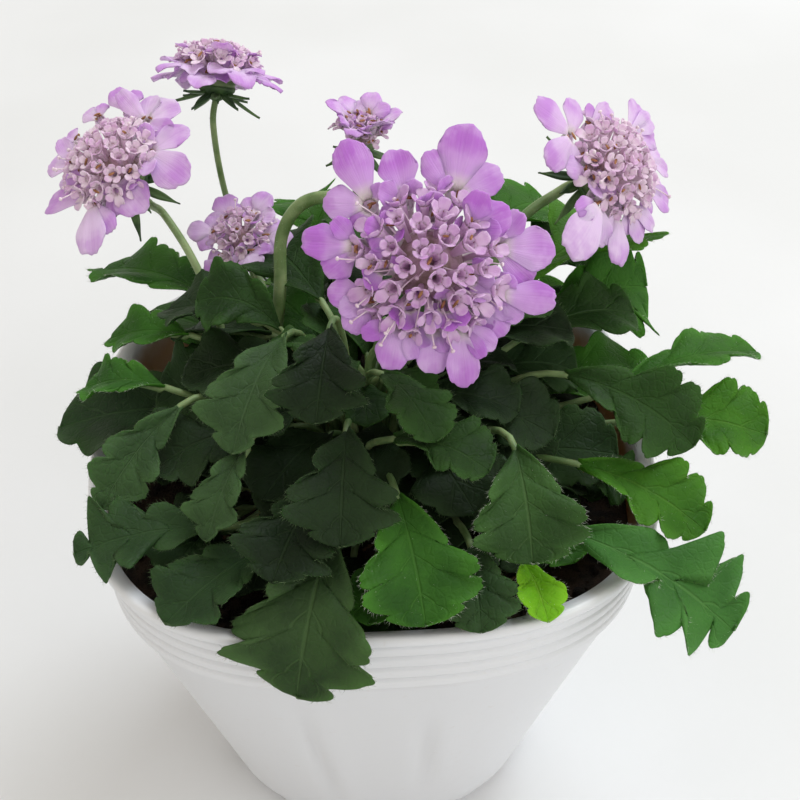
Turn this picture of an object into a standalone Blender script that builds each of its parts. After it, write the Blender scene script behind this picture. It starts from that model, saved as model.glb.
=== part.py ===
"""Potted scabious: a soft white nursery pot, its soil, six flower stems with their heads, and the leaves.

Metres, +Z up. The origin is the middle of the pot's underside, the plant's front faces -Y.
Lengths in the tables and helpers below are millimetres, and MM turns them into metres.
"""

import math
import random
from collections import namedtuple

import bmesh
import bpy
from mathutils import Matrix, Vector
from mathutils.bvhtree import BVHTree

MM = 0.001

# Pot: a thin round tub whose soft rim has squared itself a little, with an upright collar above the taper
POT_HEIGHT = 86.0
RIM_HALF = 52.5
COLLAR_HALF = 50.0
COLLAR_DEPTH = 15.5
BASE_HALF = 33.0
WALL = 1.2
LIP_OUT = 1.6
LIP_DEPTH = 2.2
RIB_COUNT = 4
RIB_PITCH = 3.1
RIB_STAND = 0.7
RIB_TOP = 4.6
BASE_ROUND = 3.0
RIM_SQUARE = 3.0
BASE_SQUARE = 2.2
POT_SIDES = 36
SLOT_COUNT = 8
SLOT_FIRST = 22.5
SLOT_LONG = 7.0
SLOT_WIDE = 3.2
SLOT_REACH = 12.0
SLOT_TILT = 55.0

# Soil: fills the pot to a finger's width below the rim
SOIL_DROP = 12.0
SOIL_TOP = POT_HEIGHT - SOIL_DROP
SOIL_GAP = 0.35
HOLE_DEPTH = 6.0
LEAF_HOLE = 1.85
SEAT = 0.3
ROOT_SPACING = 3.5

# Flower stems and heads
STEM_HOLE_GAP = 0.35
STEM_SIDES_RES = 1
BRACTS = 6
BRACT_LEAN = 26.0
BRACT_STAGGER = 8.0

# Florets: where their edge is sampled, each lobe's middle, half width and length, the half angle of the
# fan, how far its edge droops, and how the cups in the middle of the head are spread
OUTER_SHARES = (-0.9, -0.55, -0.36, -0.18, 0.18, 0.36, 0.55, 0.9)
SECOND_SHARES = (-0.68, -0.36, 0.0, 0.36, 0.68)
FLORET_LOBES = ((-0.68, 0.32, 0.84), (0.0, 0.38, 1.0), (0.68, 0.32, 0.84))
LOBE_CUT = 0.45
THROAT = 0.34
OUTER_FAN = 62.0
SECOND_FAN = 55.0
OUTER_DROOP = 1.6
SECOND_DROOP = 0.8
SECOND_SPAN = 0.68
DOME_WIDE = 0.40
DOME_HIGH = 0.42
CUP_SPREAD = 58.0
CUP_TURN = 137.5

# Leaves
BLADE = 0.7
STALK_HALF = 0.9
CLEARANCE = 0.45

# Each flower: where the middle of its head sits (x, y, height over the rim), the way it faces, its
# width, how many florets it has outside and in the second row, how open it is, and its stem
Flower = namedtuple("Flower", "place facing width outer second cups opening stem_radius route")
FLOWERS = {
    "1": Flower((9, -11, 43), (0.04, -0.72, 0.69), 43, 9, 7, 11, 1.0, 1.2,
                ((-17, 9, -12), (-18, 11, 6), (-16, 15, 21), (-15, 21, 30), (-10, 21, 37), (-2, 14, 40))),
    "2": Flower((-44, 32, 36), (-0.42, -0.30, 0.86), 34, 8, 5, 7, 1.05, 0.9,
                ((-21, 2, -12), (-25, 9, 6), (-31, 20, 22), (-37, 28, 30))),
    "3": Flower((-27, 53, 44), (0.15, 0.48, 0.86), 28, 8, 5, 7, 1.12, 0.9,
                ((-15, 29, -12), (-22, 41, 5), (-27, 48, 22), (-28, 51, 36))),
    "4": Flower((43, 22, 39), (0.64, -0.46, 0.62), 34, 8, 5, 7, 1.0, 1.0,
                ((13, 6, -12), (19, 12, 12), (28, 20, 29), (36, 25, 33))),
    "5": Flower((1, 49, 32), (0.10, 0.05, 1.0), 19, 6, 0, 6, 0.5, 0.8,
                ((-2, 24, -12), (-2, 38, 8), (0, 47, 23))),
    "6": Flower((-23, 31, 21), (-0.15, -0.40, 0.90), 21, 6, 0, 7, 0.7, 0.8,
                ((-12, 14, -12), (-16, 22, 4), (-21, 31, 14))),
}

# How each kind of blade is cut: lobes a side, depth of the cuts, forward sweep and bluntness of the lobes
Kind = namedtuple("Kind", "lobes cut sweep blunt broad")
KINDS = {
    "scalloped": Kind(4, 0.20, 0.45, 2.4, 0.56),
    "lobed": Kind(4, 0.40, 0.80, 1.9, 0.66),
    "young": Kind(3, 0.26, 0.55, 2.2, 0.60),
    "feather": Kind(4, 0.78, 1.10, 1.2, 0.52),
}

# The leaves that give the plant its face: kind, where the blade starts and ends (x, y, height over the
# rim), its width, how it is rolled about its rib in degrees, and how far its middle arches
Leaf = namedtuple("Leaf", "name kind neck tip width roll bow")
SHOWN_LEAVES = (
    Leaf("front", "scalloped", (3, -32, 12), (6, -53, 4), 21, -4, 2.5),
    Leaf("front_right", "scalloped", (22, -27, 16), (22, -45, 7), 20, 6, 2.5),
    Leaf("over_rim", "lobed", (-8, -35, 8), (-15, -57, -7), 27, 4, 4.0),
    Leaf("feather_right", "feather", (33, -35, 4), (57, -52, -3), 26, 4, 3.0),
    Leaf("right_low", "lobed", (36, -20, 6), (56, -34, 2), 18, 4, 2.5),
    Leaf("right_big", "lobed", (29, 14, 21), (55, 33, 19), 27, -8, 3.5),
    Leaf("right_far", "scalloped", (48, -2, 9), (74, 4, 10), 15, -14, 3.0),
    Leaf("right_bright", "scalloped", (50, -9, 6), (71, -16, 7), 19, 8, 2.0),
    Leaf("right_folded", "lobed", (35, -7, 13), (56, -21, 7), 18, 26, 3.0),
    Leaf("rim_front_left", "scalloped", (-17, -34, 3), (-33, -50, 2), 18, 10, 2.0),
    Leaf("rim_left", "feather", (-25, -31, 3), (-48, -38, 3), 18, -8, 2.0),
    Leaf("narrow", "lobed", (-22, -20, 15), (-29, -36, 8), 13, 24, 2.0),
    Leaf("folded_left", "lobed", (-33, -12, 14), (-45, -29, 5), 12, -38, 2.0),
    Leaf("left", "scalloped", (-37, -5, 14), (-52, -3, 12), 14, 6, 2.0),
    Leaf("middle_low", "scalloped", (3, -23, 17), (18, -32, 17), 16, -6, 2.5),
    Leaf("middle_high", "scalloped", (1, -13, 23), (8, -29, 21), 14, -16, 2.5),
    Leaf("grey", "lobed", (-15, -2, 23), (-23, -25, 16), 18, 10, 3.5),
    Leaf("middle_top", "lobed", (-7, -7, 26), (-10, -25, 20), 18, 4, 2.0),
    Leaf("dark_front", "lobed", (-5, -22, 14), (-7, -43, 8), 20, -5, 3.0),
    Leaf("rim_young", "young", (24, -38, 1), (26, -52, 2), 9, -8, 1.5),
    Leaf("rim_dark", "scalloped", (15, -37, 6), (15, -53, 3), 14, 6, 2.0),
    Leaf("dark_left", "lobed", (-17, -25, 8), (-28, -41, 7), 18, -10, 2.0),
    Leaf("left_back", "young", (-34, 6, 16), (-50, 9, 12), 13, -4, 1.5),
    Leaf("back_left", "scalloped", (-29, 25, 12), (-53, 40, 10), 20, 8, 3.0),
    Leaf("deep_left", "young", (-20, -9, 8), (-39, -16, 6), 19, -6, 2.5),
    Leaf("deep_back", "young", (-19, 7, 14), (-37, 13, 13), 18, 4, 2.5),
    Leaf("right_under", "young", (31, 8, 14), (52, 14, 13), 18, 6, 2.5),
    Leaf("back_right", "lobed", (22, 32, 18), (40, 50, 16), 20, 6, 3.0),
    Leaf("back_middle", "lobed", (-7, 36, 16), (-13, 57, 14), 18, -6, 3.0),
)

# The leaves behind and inside, set in rings: kind, count, first angle, angle between leaves in degrees,
# radius and height of the blade's start and end, width
Ring = namedtuple("Ring", "name kind count first step start_radius end_radius start_high end_high width")
LEAF_RINGS = (
    Ring("skirt", "young", 6, 8, 34, 27, 58, 4, 1, 23),
    Ring("nape", "young", 5, 12, 37, 13, 37, 11, 12, 20),
    Ring("middle", "young", 4, -130, 44, 15, 35, 4, 5, 17),
    Ring("crown", "young", 2, -8, 72, 6, 23, 20, 21, 16),
)

# What a leaf may do to find room: lift in millimetres, swing about the pot in degrees, stay smaller
LIFTS = (0, 1.5, -1.5, 3, -3, 4.5, 6)
SWINGS = (0, 3, -3, 6, -6, 9, -9, 13, -13, 18, -18, 24, -24)
SIZES = (1.0, 0.85, 0.7)

RING_SEED = 11
RING_TURN = 6.0
RING_STRETCH = 2.0


def make_material(name, colour, roughness, metallic=0.0):
    material = bpy.data.materials.new(name)
    material.use_nodes = True
    shader = material.node_tree.nodes["Principled BSDF"]
    shader.inputs["Base Color"].default_value = (*colour, 1.0)
    shader.inputs["Roughness"].default_value = roughness
    shader.inputs["Metallic"].default_value = metallic
    material.diffuse_color = (*colour, 1.0)
    return material


def new_collection(name):
    collection = bpy.data.collections.new(name)
    bpy.context.scene.collection.children.link(collection)
    return collection


def add_object(name, bm, collection, material=None):
    """Turn a bmesh in millimetres into an object in metres."""
    bmesh.ops.scale(bm, vec=(MM, MM, MM), verts=bm.verts)
    mesh = bpy.data.meshes.new(name)
    bm.to_mesh(mesh)
    bm.free()
    item = bpy.data.objects.new(name, mesh)
    collection.objects.link(item)
    if material:
        mesh.materials.append(material)
    return item


def as_cutter(item):
    item.hide_render = True
    item.display_type = "WIRE"
    return item


def apply_boolean(item, operation, collection, solver="EXACT"):
    """Cut or join an object by everything in a collection, then empty the collection."""
    modifier = item.modifiers.new(operation.title(), "BOOLEAN")
    modifier.operation = operation
    modifier.operand_type = "COLLECTION"
    modifier.collection = collection
    modifier.solver = solver
    evaluated = item.evaluated_get(bpy.context.evaluated_depsgraph_get())
    mesh = bpy.data.meshes.new_from_object(evaluated)
    item.modifiers.remove(modifier)
    item.data = keep_outside(mesh)
    for piece in list(collection.objects):
        bpy.data.objects.remove(piece)


def keep_outside(mesh):
    """Fill the hollows that a union seals, and drop loose scraps: only the widest shell stays."""
    bm = bmesh.new()
    bm.from_mesh(mesh)
    unseen = set(bm.verts)
    shells = []
    while unseen:
        shell, front = set(), [unseen.pop()]
        while front:
            vert = front.pop()
            shell.add(vert)
            near = {edge.other_vert(vert) for edge in vert.link_edges} & unseen
            unseen -= near
            front += near
        shells.append(shell)
    shells.sort(key=shell_width)
    for shell in shells[:-1]:
        bmesh.ops.delete(bm, geom=list(shell), context="VERTS")
    bm.to_mesh(mesh)
    bm.free()
    return mesh


def shell_width(shell):
    spans = [[vert.co[axis] for vert in shell] for axis in range(3)]
    return sum(max(span) - min(span) for span in spans)


def smooth_step(low, high, value):
    share = min(max((value - low) / (high - low), 0.0), 1.0)
    return share * share * (3.0 - 2.0 * share)


def squared(angle, power):
    """How far a rounded square reaches at an angle, where a circle reaches 1."""
    across = abs(math.cos(angle)) ** power + abs(math.sin(angle)) ** power
    return across ** (-1.0 / power)


def square_plan(bm):
    """Press a turned shape from a circle at the base to a rounded square at the rim."""
    for vert in bm.verts:
        share = min(max(vert.co.z / POT_HEIGHT, 0.0), 1.0)
        power = BASE_SQUARE + (RIM_SQUARE - BASE_SQUARE) * share
        reach = squared(math.atan2(vert.co.y, vert.co.x), power)
        vert.co.x *= reach
        vert.co.y *= reach


def turned(profile, sides):
    """Turn a profile that starts and ends on the axis into a closed body."""
    bm = bmesh.new()
    points = [bm.verts.new((radius, 0.0, height)) for radius, height in profile]
    edges = [bm.edges.new(pair) for pair in zip(points, points[1:])]
    bmesh.ops.spin(bm, geom=points + edges, cent=(0, 0, 0), axis=(0, 0, 1), angle=math.tau,
                   steps=sides, use_merge=True)
    bmesh.ops.remove_doubles(bm, verts=bm.verts, dist=0.001)
    bmesh.ops.recalc_face_normals(bm, faces=bm.faces)
    return bm


def wall_radius(height):
    """Outer radius of the pot's plain wall at a height over the floor: the taper, then the collar."""
    knee = POT_HEIGHT - COLLAR_DEPTH
    if height < knee:
        return BASE_HALF + (COLLAR_HALF - BASE_HALF) * height / knee
    return COLLAR_HALF + (RIM_HALF - LIP_OUT - COLLAR_HALF) * (height - knee) / COLLAR_DEPTH


def inside_profile(gap):
    """The pot's inside from the soil's top down to the axis, drawn in by a gap."""
    knee = POT_HEIGHT - COLLAR_DEPTH
    return [(wall_radius(SOIL_TOP) - WALL - gap, SOIL_TOP), (wall_radius(knee) - WALL - gap, knee),
            (wall_radius(BASE_ROUND) - WALL - gap, BASE_ROUND + 1.0 + gap / 2),
            (wall_radius(0) - BASE_ROUND - gap, WALL + gap), (0.0, WALL + gap)]


def make_pot(collection, cutters, material):
    profile = [(0.0, 0.0), (wall_radius(0) - BASE_ROUND, 0.0), (wall_radius(0), BASE_ROUND)]
    for rib in reversed(range(RIB_COUNT)):
        crest = POT_HEIGHT - RIB_TOP - rib * RIB_PITCH
        profile.append((wall_radius(crest - RIB_PITCH / 2), crest - RIB_PITCH / 2))
        profile.append((wall_radius(crest) + RIB_STAND, crest))
    under_lip = POT_HEIGHT - LIP_DEPTH
    profile += [(wall_radius(under_lip) + 0.3, under_lip), (RIM_HALF, POT_HEIGHT - LIP_DEPTH / 2),
                (RIM_HALF - LIP_OUT / 2, POT_HEIGHT),
                (wall_radius(POT_HEIGHT) - WALL, POT_HEIGHT - 0.4)]
    profile += inside_profile(0.0)
    bm = turned(profile, POT_SIDES)
    square_plan(bm)
    pot = add_object("pot", bm, collection, material)
    for number in range(SLOT_COUNT):
        bm = bmesh.new()
        bmesh.ops.create_cone(bm, cap_ends=True, segments=8, radius1=SLOT_WIDE / 2,
                              radius2=SLOT_WIDE / 2, depth=SLOT_REACH)
        bmesh.ops.scale(bm, vec=(1, SLOT_LONG / SLOT_WIDE, 1), verts=bm.verts)
        angle = math.radians(SLOT_FIRST + number * 360.0 / SLOT_COUNT)
        reach = wall_radius(0) * squared(angle, BASE_SQUARE)
        tilt = Matrix.Rotation(math.radians(SLOT_TILT), 4, "Y")
        place = Matrix.Translation((reach - 0.6, 0, BASE_ROUND * 0.5)) @ tilt
        bmesh.ops.transform(bm, matrix=Matrix.Rotation(angle, 4, "Z") @ place, verts=bm.verts)
        as_cutter(add_object(f"drain_{number}", bm, cutters))
    apply_boolean(pot, "DIFFERENCE", cutters)
    return pot


def make_soil(collection, cutters, material, holes):
    """The soil block, with a plain hole for every stem and leaf stalk."""
    bm = turned([(0.0, SOIL_TOP)] + inside_profile(SOIL_GAP), POT_SIDES)
    square_plan(bm)
    soil = add_object("soil", bm, collection, material)
    for number, (place, radius) in enumerate(holes):
        bm = bmesh.new()
        bmesh.ops.create_cone(bm, cap_ends=True, segments=4, radius1=radius, radius2=radius,
                              depth=2 * HOLE_DEPTH)
        way = math.atan2(place[1], place[0]) + math.pi / 4
        spot = Matrix.Translation((place[0], place[1], SOIL_TOP))
        bmesh.ops.transform(bm, matrix=spot @ Matrix.Rotation(way, 4, "Z"), verts=bm.verts)
        as_cutter(add_object(f"hole_{number}", bm, cutters))
    apply_boolean(soil, "DIFFERENCE", cutters)
    return soil


def smooth_route(points, steps):
    """Points of a smooth curve through the given points."""
    knots = [Vector(point) for point in points]
    knots = [2 * knots[0] - knots[1]] + knots + [2 * knots[-1] - knots[-2]]
    route = []
    for before, start, end, after in zip(knots, knots[1:], knots[2:], knots[3:]):
        for step in range(steps):
            t = step / steps
            route.append(0.5 * (2 * start + (end - before) * t
                                + (2 * before - 5 * start + 4 * end - after) * t * t
                                + (3 * start - before - 3 * end + after) * t ** 3))
    route.append(knots[-2])
    return route


def head_frame(flower):
    """The frame of a flower head: +Z is the way it faces, the origin is the top of its receptacle."""
    facing = Vector(flower.facing).normalized()
    turn = facing.to_track_quat("Z", "Y").to_matrix().to_4x4()
    place = Vector(flower.place) + Vector((0, 0, POT_HEIGHT))
    return Matrix.Translation(place) @ turn


def stem_route(flower):
    """The stem's middle line, from the bottom of its hole to the receptacle."""
    frame = head_frame(flower)
    points = [Vector(point) + Vector((0, 0, POT_HEIGHT)) for point in flower.route]
    foot = Vector((points[0].x, points[0].y, SOIL_TOP - HOLE_DEPTH + SEAT))
    rise = Vector((points[0].x, points[0].y, SOIL_TOP + 2.0))
    under = frame @ Vector((0, 0, -8.0))
    return [foot] + smooth_route([rise] + points[1:] + [under, frame @ Vector((0, 0, -1.5))], 2)


def make_stem(name, flower, collection, joining, material):
    route = stem_route(flower)
    curve = bpy.data.curves.new(name, "CURVE")
    curve.dimensions = "3D"
    curve.bevel_depth = flower.stem_radius * MM
    curve.bevel_resolution = STEM_SIDES_RES
    curve.use_fill_caps = True
    spline = curve.splines.new("POLY")
    spline.points.add(len(route) - 1)
    for point, place in zip(spline.points, route):
        point.co = (*(place * MM), 1.0)
    tube = bpy.data.objects.new(name + "_line", curve)
    bpy.context.scene.collection.objects.link(tube)
    evaluated = tube.evaluated_get(bpy.context.evaluated_depsgraph_get())
    mesh = bpy.data.meshes.new_from_object(evaluated)
    bm = bmesh.new()
    bm.from_mesh(mesh)
    bmesh.ops.transform(bm, matrix=tube.matrix_world, verts=bm.verts)
    bmesh.ops.remove_doubles(bm, verts=bm.verts, dist=0.00001)
    bmesh.ops.scale(bm, vec=(1 / MM,) * 3, verts=bm.verts)
    bpy.data.objects.remove(tube)
    stem = add_object(name, bm, collection, material)

    frame = head_frame(flower)
    cup = receptacle_radius(flower)
    bm = bmesh.new()
    bmesh.ops.create_cone(bm, cap_ends=True, segments=10, radius1=flower.stem_radius * 1.05,
                          radius2=cup, depth=3.0)
    bmesh.ops.translate(bm, vec=(0, 0, -1.5), verts=bm.verts)
    bmesh.ops.transform(bm, matrix=frame, verts=bm.verts)
    add_object(name + "_cup", bm, joining)
    length = bract_length(flower)
    for number in range(BRACTS):
        bm = blade_sheet(bract_outline(length))
        thicken(bm, BLADE)
        lean = Matrix.Rotation(math.radians(BRACT_LEAN + BRACT_STAGGER * (number % 2)), 4, "Y")
        spread = Matrix.Rotation(math.tau * (number + 0.3) / BRACTS, 4, "Z")
        out = Matrix.Translation((cup * 0.45, 0, -1.5))
        bmesh.ops.transform(bm, matrix=frame @ spread @ out @ lean, verts=bm.verts)
        add_object(f"{name}_bract_{number}", bm, joining)
    apply_boolean(stem, "UNION", joining)
    return stem


def receptacle_radius(flower):
    return 0.10 * flower.width + 1.0


def bract_length(flower):
    return 0.22 * flower.width + 3.0


def bract_outline(length):
    """Rows of a narrow green bract along +X: distance, half width, lift."""
    return [(0.0, 0.8, 0.0), (0.45 * length, 1.1, 0.0), (length, 0.3, 0.8)]


def blade_sheet(rows):
    """An open strip of triangles from rows of (distance, half width, lift)."""
    bm = bmesh.new()
    pairs = []
    for distance, half, lift in rows:
        pairs.append((bm.verts.new((distance, -half, lift)), bm.verts.new((distance, half, lift))))
    for (low_a, high_a), (low_b, high_b) in zip(pairs, pairs[1:]):
        bm.faces.new((low_a, low_b, high_b))
        bm.faces.new((low_a, high_b, high_a))
    return bm


def thicken(bm, thickness):
    """Give an open sheet a thickness, half to each side."""
    bm.normal_update()
    shift = [(vert, vert.normal * (thickness / 2)) for vert in bm.verts]
    for vert, offset in shift:
        vert.co += offset
    bmesh.ops.solidify(bm, geom=bm.faces[:], thickness=thickness)
    bmesh.ops.recalc_face_normals(bm, faces=bm.faces)


def floret_reach(share):
    """How far a floret's edge lies from its throat, from one side of its fan (-1) to the other (1)."""
    reach = 0.0
    for middle, half, long in FLORET_LOBES:
        off = min(abs(share - middle) / half, 1.0)
        reach = max(reach, long * (1.0 - LOBE_CUT * off ** 3))
    return reach


def floret_sheet(length, half_root, fan, droop, shares):
    """One lobed floret as an open sheet along +X: a narrow throat, then a fan of three lobes."""
    bm = bmesh.new()
    throat = THROAT * length
    root = [bm.verts.new((0, side * half_root, 0)) for side in (-1, 1)]
    neck = [bm.verts.new((throat, side * half_root, 0)) for side in (-1, 1)]
    bm.faces.new((root[0], neck[0], neck[1]))
    bm.faces.new((root[0], neck[1], root[1]))
    outline = []
    for share in shares:
        reach = (length - throat) * floret_reach(share)
        turn = fan * share
        lift = -droop * floret_reach(share) ** 2
        outline.append(bm.verts.new((throat + reach * math.cos(turn), reach * math.sin(turn), lift)))
    split = len(outline) // 2
    for first, second in zip(outline[:split + 1], outline[1:split + 1]):
        bm.faces.new((neck[0], first, second))
    bm.faces.new((neck[0], outline[split], neck[1]))
    for first, second in zip(outline[split:], outline[split + 1:]):
        bm.faces.new((neck[1], first, second))
    return bm


def make_bloom(name, flower, collection, joining, material):
    """A flower head: a low dome, two rows of lobed florets and the small cups on top."""
    half = flower.width / 2
    dome = DOME_WIDE * half
    high = DOME_HIGH * half
    frame = head_frame(flower)
    seat = Matrix.Translation((0, 0, SEAT))
    base = receptacle_radius(flower)
    profile = [(0.0, 0.0), (base, 0.0), (dome, 0.30 * high + 0.5), (0.75 * dome, 0.85 * high + 0.5),
               (0.0, high + 0.8)]
    bm = turned(profile, 10)
    bmesh.ops.transform(bm, matrix=frame @ seat, verts=bm.verts)
    bloom = add_object(name, bm, collection, material)

    pieces = []
    draw = random.Random(name)
    for number in range(flower.outer):
        length = (half - 0.2 * dome) * draw.uniform(0.9, 1.03)
        bm = floret_sheet(length, 1.0, math.radians(OUTER_FAN), OUTER_DROOP, OUTER_SHARES)
        thicken(bm, BLADE)
        raise_angle = 60 * (1 - flower.opening) + (9 if number % 2 else 0) + draw.uniform(-3, 3)
        turn = 360 * (number + 0.1 + draw.uniform(-0.12, 0.12)) / flower.outer
        pieces.append((bm, turn, raise_angle, 0.2 * dome, 0.28 * high + 1.0 + 0.3 * (number % 2)))
    for number in range(flower.second):
        length = (SECOND_SPAN * half - 0.2 * dome) * draw.uniform(0.92, 1.05)
        bm = floret_sheet(length, 0.9, math.radians(SECOND_FAN), SECOND_DROOP, SECOND_SHARES)
        thicken(bm, BLADE)
        raise_angle = 32 + 35 * (1 - flower.opening) + draw.uniform(-3, 3)
        turn = 360 * (number + 0.45 + draw.uniform(-0.1, 0.1)) / flower.second
        pieces.append((bm, turn, raise_angle, 0.25 * dome, 0.40 * high + 0.6))
    for number in range(flower.cups):
        share = (number + 0.5) / flower.cups
        polar = CUP_SPREAD * math.sqrt(share)
        bm = bmesh.new()
        bmesh.ops.create_cone(bm, cap_ends=True, segments=5, radius1=0.5, radius2=0.058 * half + 0.7,
                              depth=0.22 * half)
        bmesh.ops.rotate(bm, matrix=Matrix.Rotation(math.radians(90), 3, "Y"), verts=bm.verts)
        bmesh.ops.translate(bm, vec=(0.95 * high + 0.25 * dome * math.sin(math.radians(polar)), 0, 0),
                            verts=bm.verts)
        pieces.append((bm, CUP_TURN * number, 90 - polar, 0.0, 0.6))
    for number, (bm, turn, raise_angle, out, rise) in enumerate(pieces):
        lean = Matrix.Rotation(math.radians(-raise_angle), 4, "Y")
        spread = Matrix.Rotation(math.radians(turn), 4, "Z")
        place = frame @ seat @ spread @ Matrix.Translation((out, 0, rise)) @ lean
        bmesh.ops.transform(bm, matrix=place, verts=bm.verts)
        add_object(f"{name}_floret_{number}", bm, joining)
    apply_boolean(bloom, "UNION", joining, "MANIFOLD")
    return bloom


def find_root(neck, taken):
    """A free spot in the soil on the neck's side of the crown, clear of the roots before it."""
    angle = math.atan2(neck[1], neck[0])
    radius = 0.45 * math.hypot(neck[0], neck[1])
    for ring in range(40):
        for turn in (0, 1, -1, 2, -2, 3, -3):
            for step in (0, 1, -1):
                reach = max(radius + step * 0.7 * ring, 1.0)
                way = angle + turn * 0.09 * (ring + 1) ** 0.5
                spot = (reach * math.cos(way), reach * math.sin(way))
                if all(math.dist(spot, other) > ROOT_SPACING for other in taken):
                    taken.append(spot)
                    return spot
    raise RuntimeError("no room left in the soil")


def bezier(points, t):
    while len(points) > 1:
        points = [a.lerp(b, t) for a, b in zip(points, points[1:])]
    return points[0]


def nudged(leaf, lift, swing, size):
    """The same leaf lifted, in millimetres, swung about the pot's axis, in degrees, and grown smaller."""
    turn = Matrix.Rotation(math.radians(swing), 3, "Z")
    neck = turn @ Vector(leaf.neck) + Vector((0, 0, lift))
    tip = turn @ Vector(leaf.tip) + Vector((0, 0, lift))
    return leaf._replace(neck=tuple(neck), tip=tuple(neck.lerp(tip, size)), width=leaf.width * size)


def blade_lines(leaf):
    """The blade's middle curve and the direction its face looks."""
    lift = Vector((0, 0, POT_HEIGHT))
    neck, tip = Vector(leaf.neck) + lift, Vector(leaf.tip) + lift
    along = (tip - neck).normalized()
    face = (Vector((0, 0, 1)) - along * along.z).normalized()
    middle = (neck + tip) / 2 + face * leaf.bow * 2
    face.rotate(Matrix.Rotation(math.radians(leaf.roll), 3, along))
    return [neck, middle, tip], face


def stalk_curve(leaf, root):
    blade, _ = blade_lines(leaf)
    foot = Vector((root[0], root[1], SOIL_TOP))
    reach = (blade[0] - foot).length
    heading = (blade[1] - blade[0]).normalized()
    return [foot, foot + Vector((0, 0, 0.5 * reach)), blade[0] - heading * 0.35 * reach, blade[0]]


def half_width(leaf, t):
    """Half the blade's width at t along it, with its lobes cut in."""
    kind = KINDS[leaf.kind]
    plain = math.sin(math.pi * min(max(t, 0.0), 1.0) ** 1.25) ** kind.broad
    notch = abs(2 * ((t * kind.lobes) % 1.0) - 1) ** kind.blunt
    fade = smooth_step(0.05, 0.25, t)
    return max(leaf.width / 2 * plain * (1 - kind.cut * notch * fade), 0.45)


def blade_point(leaf, curve, face, t, across):
    """A point of the blade: t along its rib, across from -1 to 1."""
    kind = KINDS[leaf.kind]
    half = half_width(leaf, t)
    length = (curve[2] - curve[0]).length
    swept = min(t + kind.sweep * half / length * (1 - t) * abs(across), 1.0)
    place = bezier(curve, swept)
    along = (bezier(curve, min(swept + 0.01, 1.0)) - bezier(curve, swept - 0.01)).normalized()
    up = (face - along * face.dot(along)).normalized()
    side = up.cross(along)
    wave = 0.05 * leaf.width * math.sin(4.4 * math.pi * t + 1.3 * across) * across * across
    return place + side * across * half + up * (0.16 * abs(across) * half + wave)


def leaf_rows(leaf):
    """Where the coarse blade is sampled: each notch, and each lobe's shoulders or, if young, its tip."""
    lobes = KINDS[leaf.kind].lobes
    phases = (0.0, 0.5) if leaf.kind == "young" else (0.0, 0.3, 0.7)
    rows = [(lobe + phase) / lobes for lobe in range(lobes) for phase in phases]
    return rows[1:] + [0.985]


def leaf_sheet(leaf, root):
    """The leaf as an open sheet: a strap of a stalk that widens into the blade."""
    curve, face = blade_lines(leaf)
    stalk = stalk_curve(leaf, root)
    bm = bmesh.new()
    strip = []
    foot = stalk[0] - Vector((0, 0, HOLE_DEPTH - SEAT))
    out = Vector((stalk[3].x - foot.x, stalk[3].y - foot.y, 0)).normalized()
    blade_side = (blade_point(leaf, curve, face, 0.0, 1) - blade_point(leaf, curve, face, 0.0, -1))
    side_low = Vector((0, 0, 1)).cross(out)
    if side_low.dot(blade_side) < 0:
        side_low = -side_low
    for t in (None, 0.0, 0.35, 0.7, 1.0):
        place = foot if t is None else bezier(stalk, t)
        side = side_low.lerp(blade_side.normalized(), t or 0.0).normalized()
        strip.append([bm.verts.new(place - side * STALK_HALF), bm.verts.new(place + side * STALK_HALF)])
    for low, high in zip(strip, strip[1:]):
        bm.faces.new((low[0], high[0], high[1]))
        bm.faces.new((low[0], high[1], low[1]))
    last = [strip[-1][0], None, strip[-1][1]]
    for t in leaf_rows(leaf):
        row = [bm.verts.new(blade_point(leaf, curve, face, t, across)) for across in (-1, 0, 1)]
        if last[1] is None:
            bm.faces.new((last[0], row[0], row[1]))
            bm.faces.new((last[0], row[1], last[2]))
            bm.faces.new((last[2], row[1], row[2]))
        else:
            bm.faces.new((last[0], row[0], row[1]))
            bm.faces.new((last[0], row[1], last[1]))
            bm.faces.new((last[1], row[1], row[2]))
            bm.faces.new((last[1], row[2], last[2]))
        last = row
    return bm


def leaf_plan():
    """Every leaf: the shown ones, then the rings."""
    plan = list(SHOWN_LEAVES)
    draw = random.Random(RING_SEED)
    for ring in LEAF_RINGS:
        for number in range(ring.count):
            way = math.radians(ring.first + ring.step * number + draw.uniform(-RING_TURN, RING_TURN))
            ends = []
            for radius, high in ((ring.start_radius, ring.start_high), (ring.end_radius, ring.end_high)):
                reach = radius + draw.uniform(-RING_STRETCH, RING_STRETCH)
                ends.append((reach * math.cos(way), reach * math.sin(way), high + draw.uniform(-1, 1)))
            roll = draw.uniform(-10, 10)
            plan.append(Leaf(f"{ring.name}_{number + 1}", ring.kind, ends[0], ends[1], ring.width,
                             roll, 2.5))
    return plan


def settle_steps():
    """Lifts, swings and sizes to try, the smallest change first."""
    steps = [(lift, swing, size) for lift in LIFTS for swing in SWINGS for size in SIZES]
    return sorted(steps, key=lambda step: abs(step[0]) + abs(step[1]) / 2 + 30 * (1 - step[2]))


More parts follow.
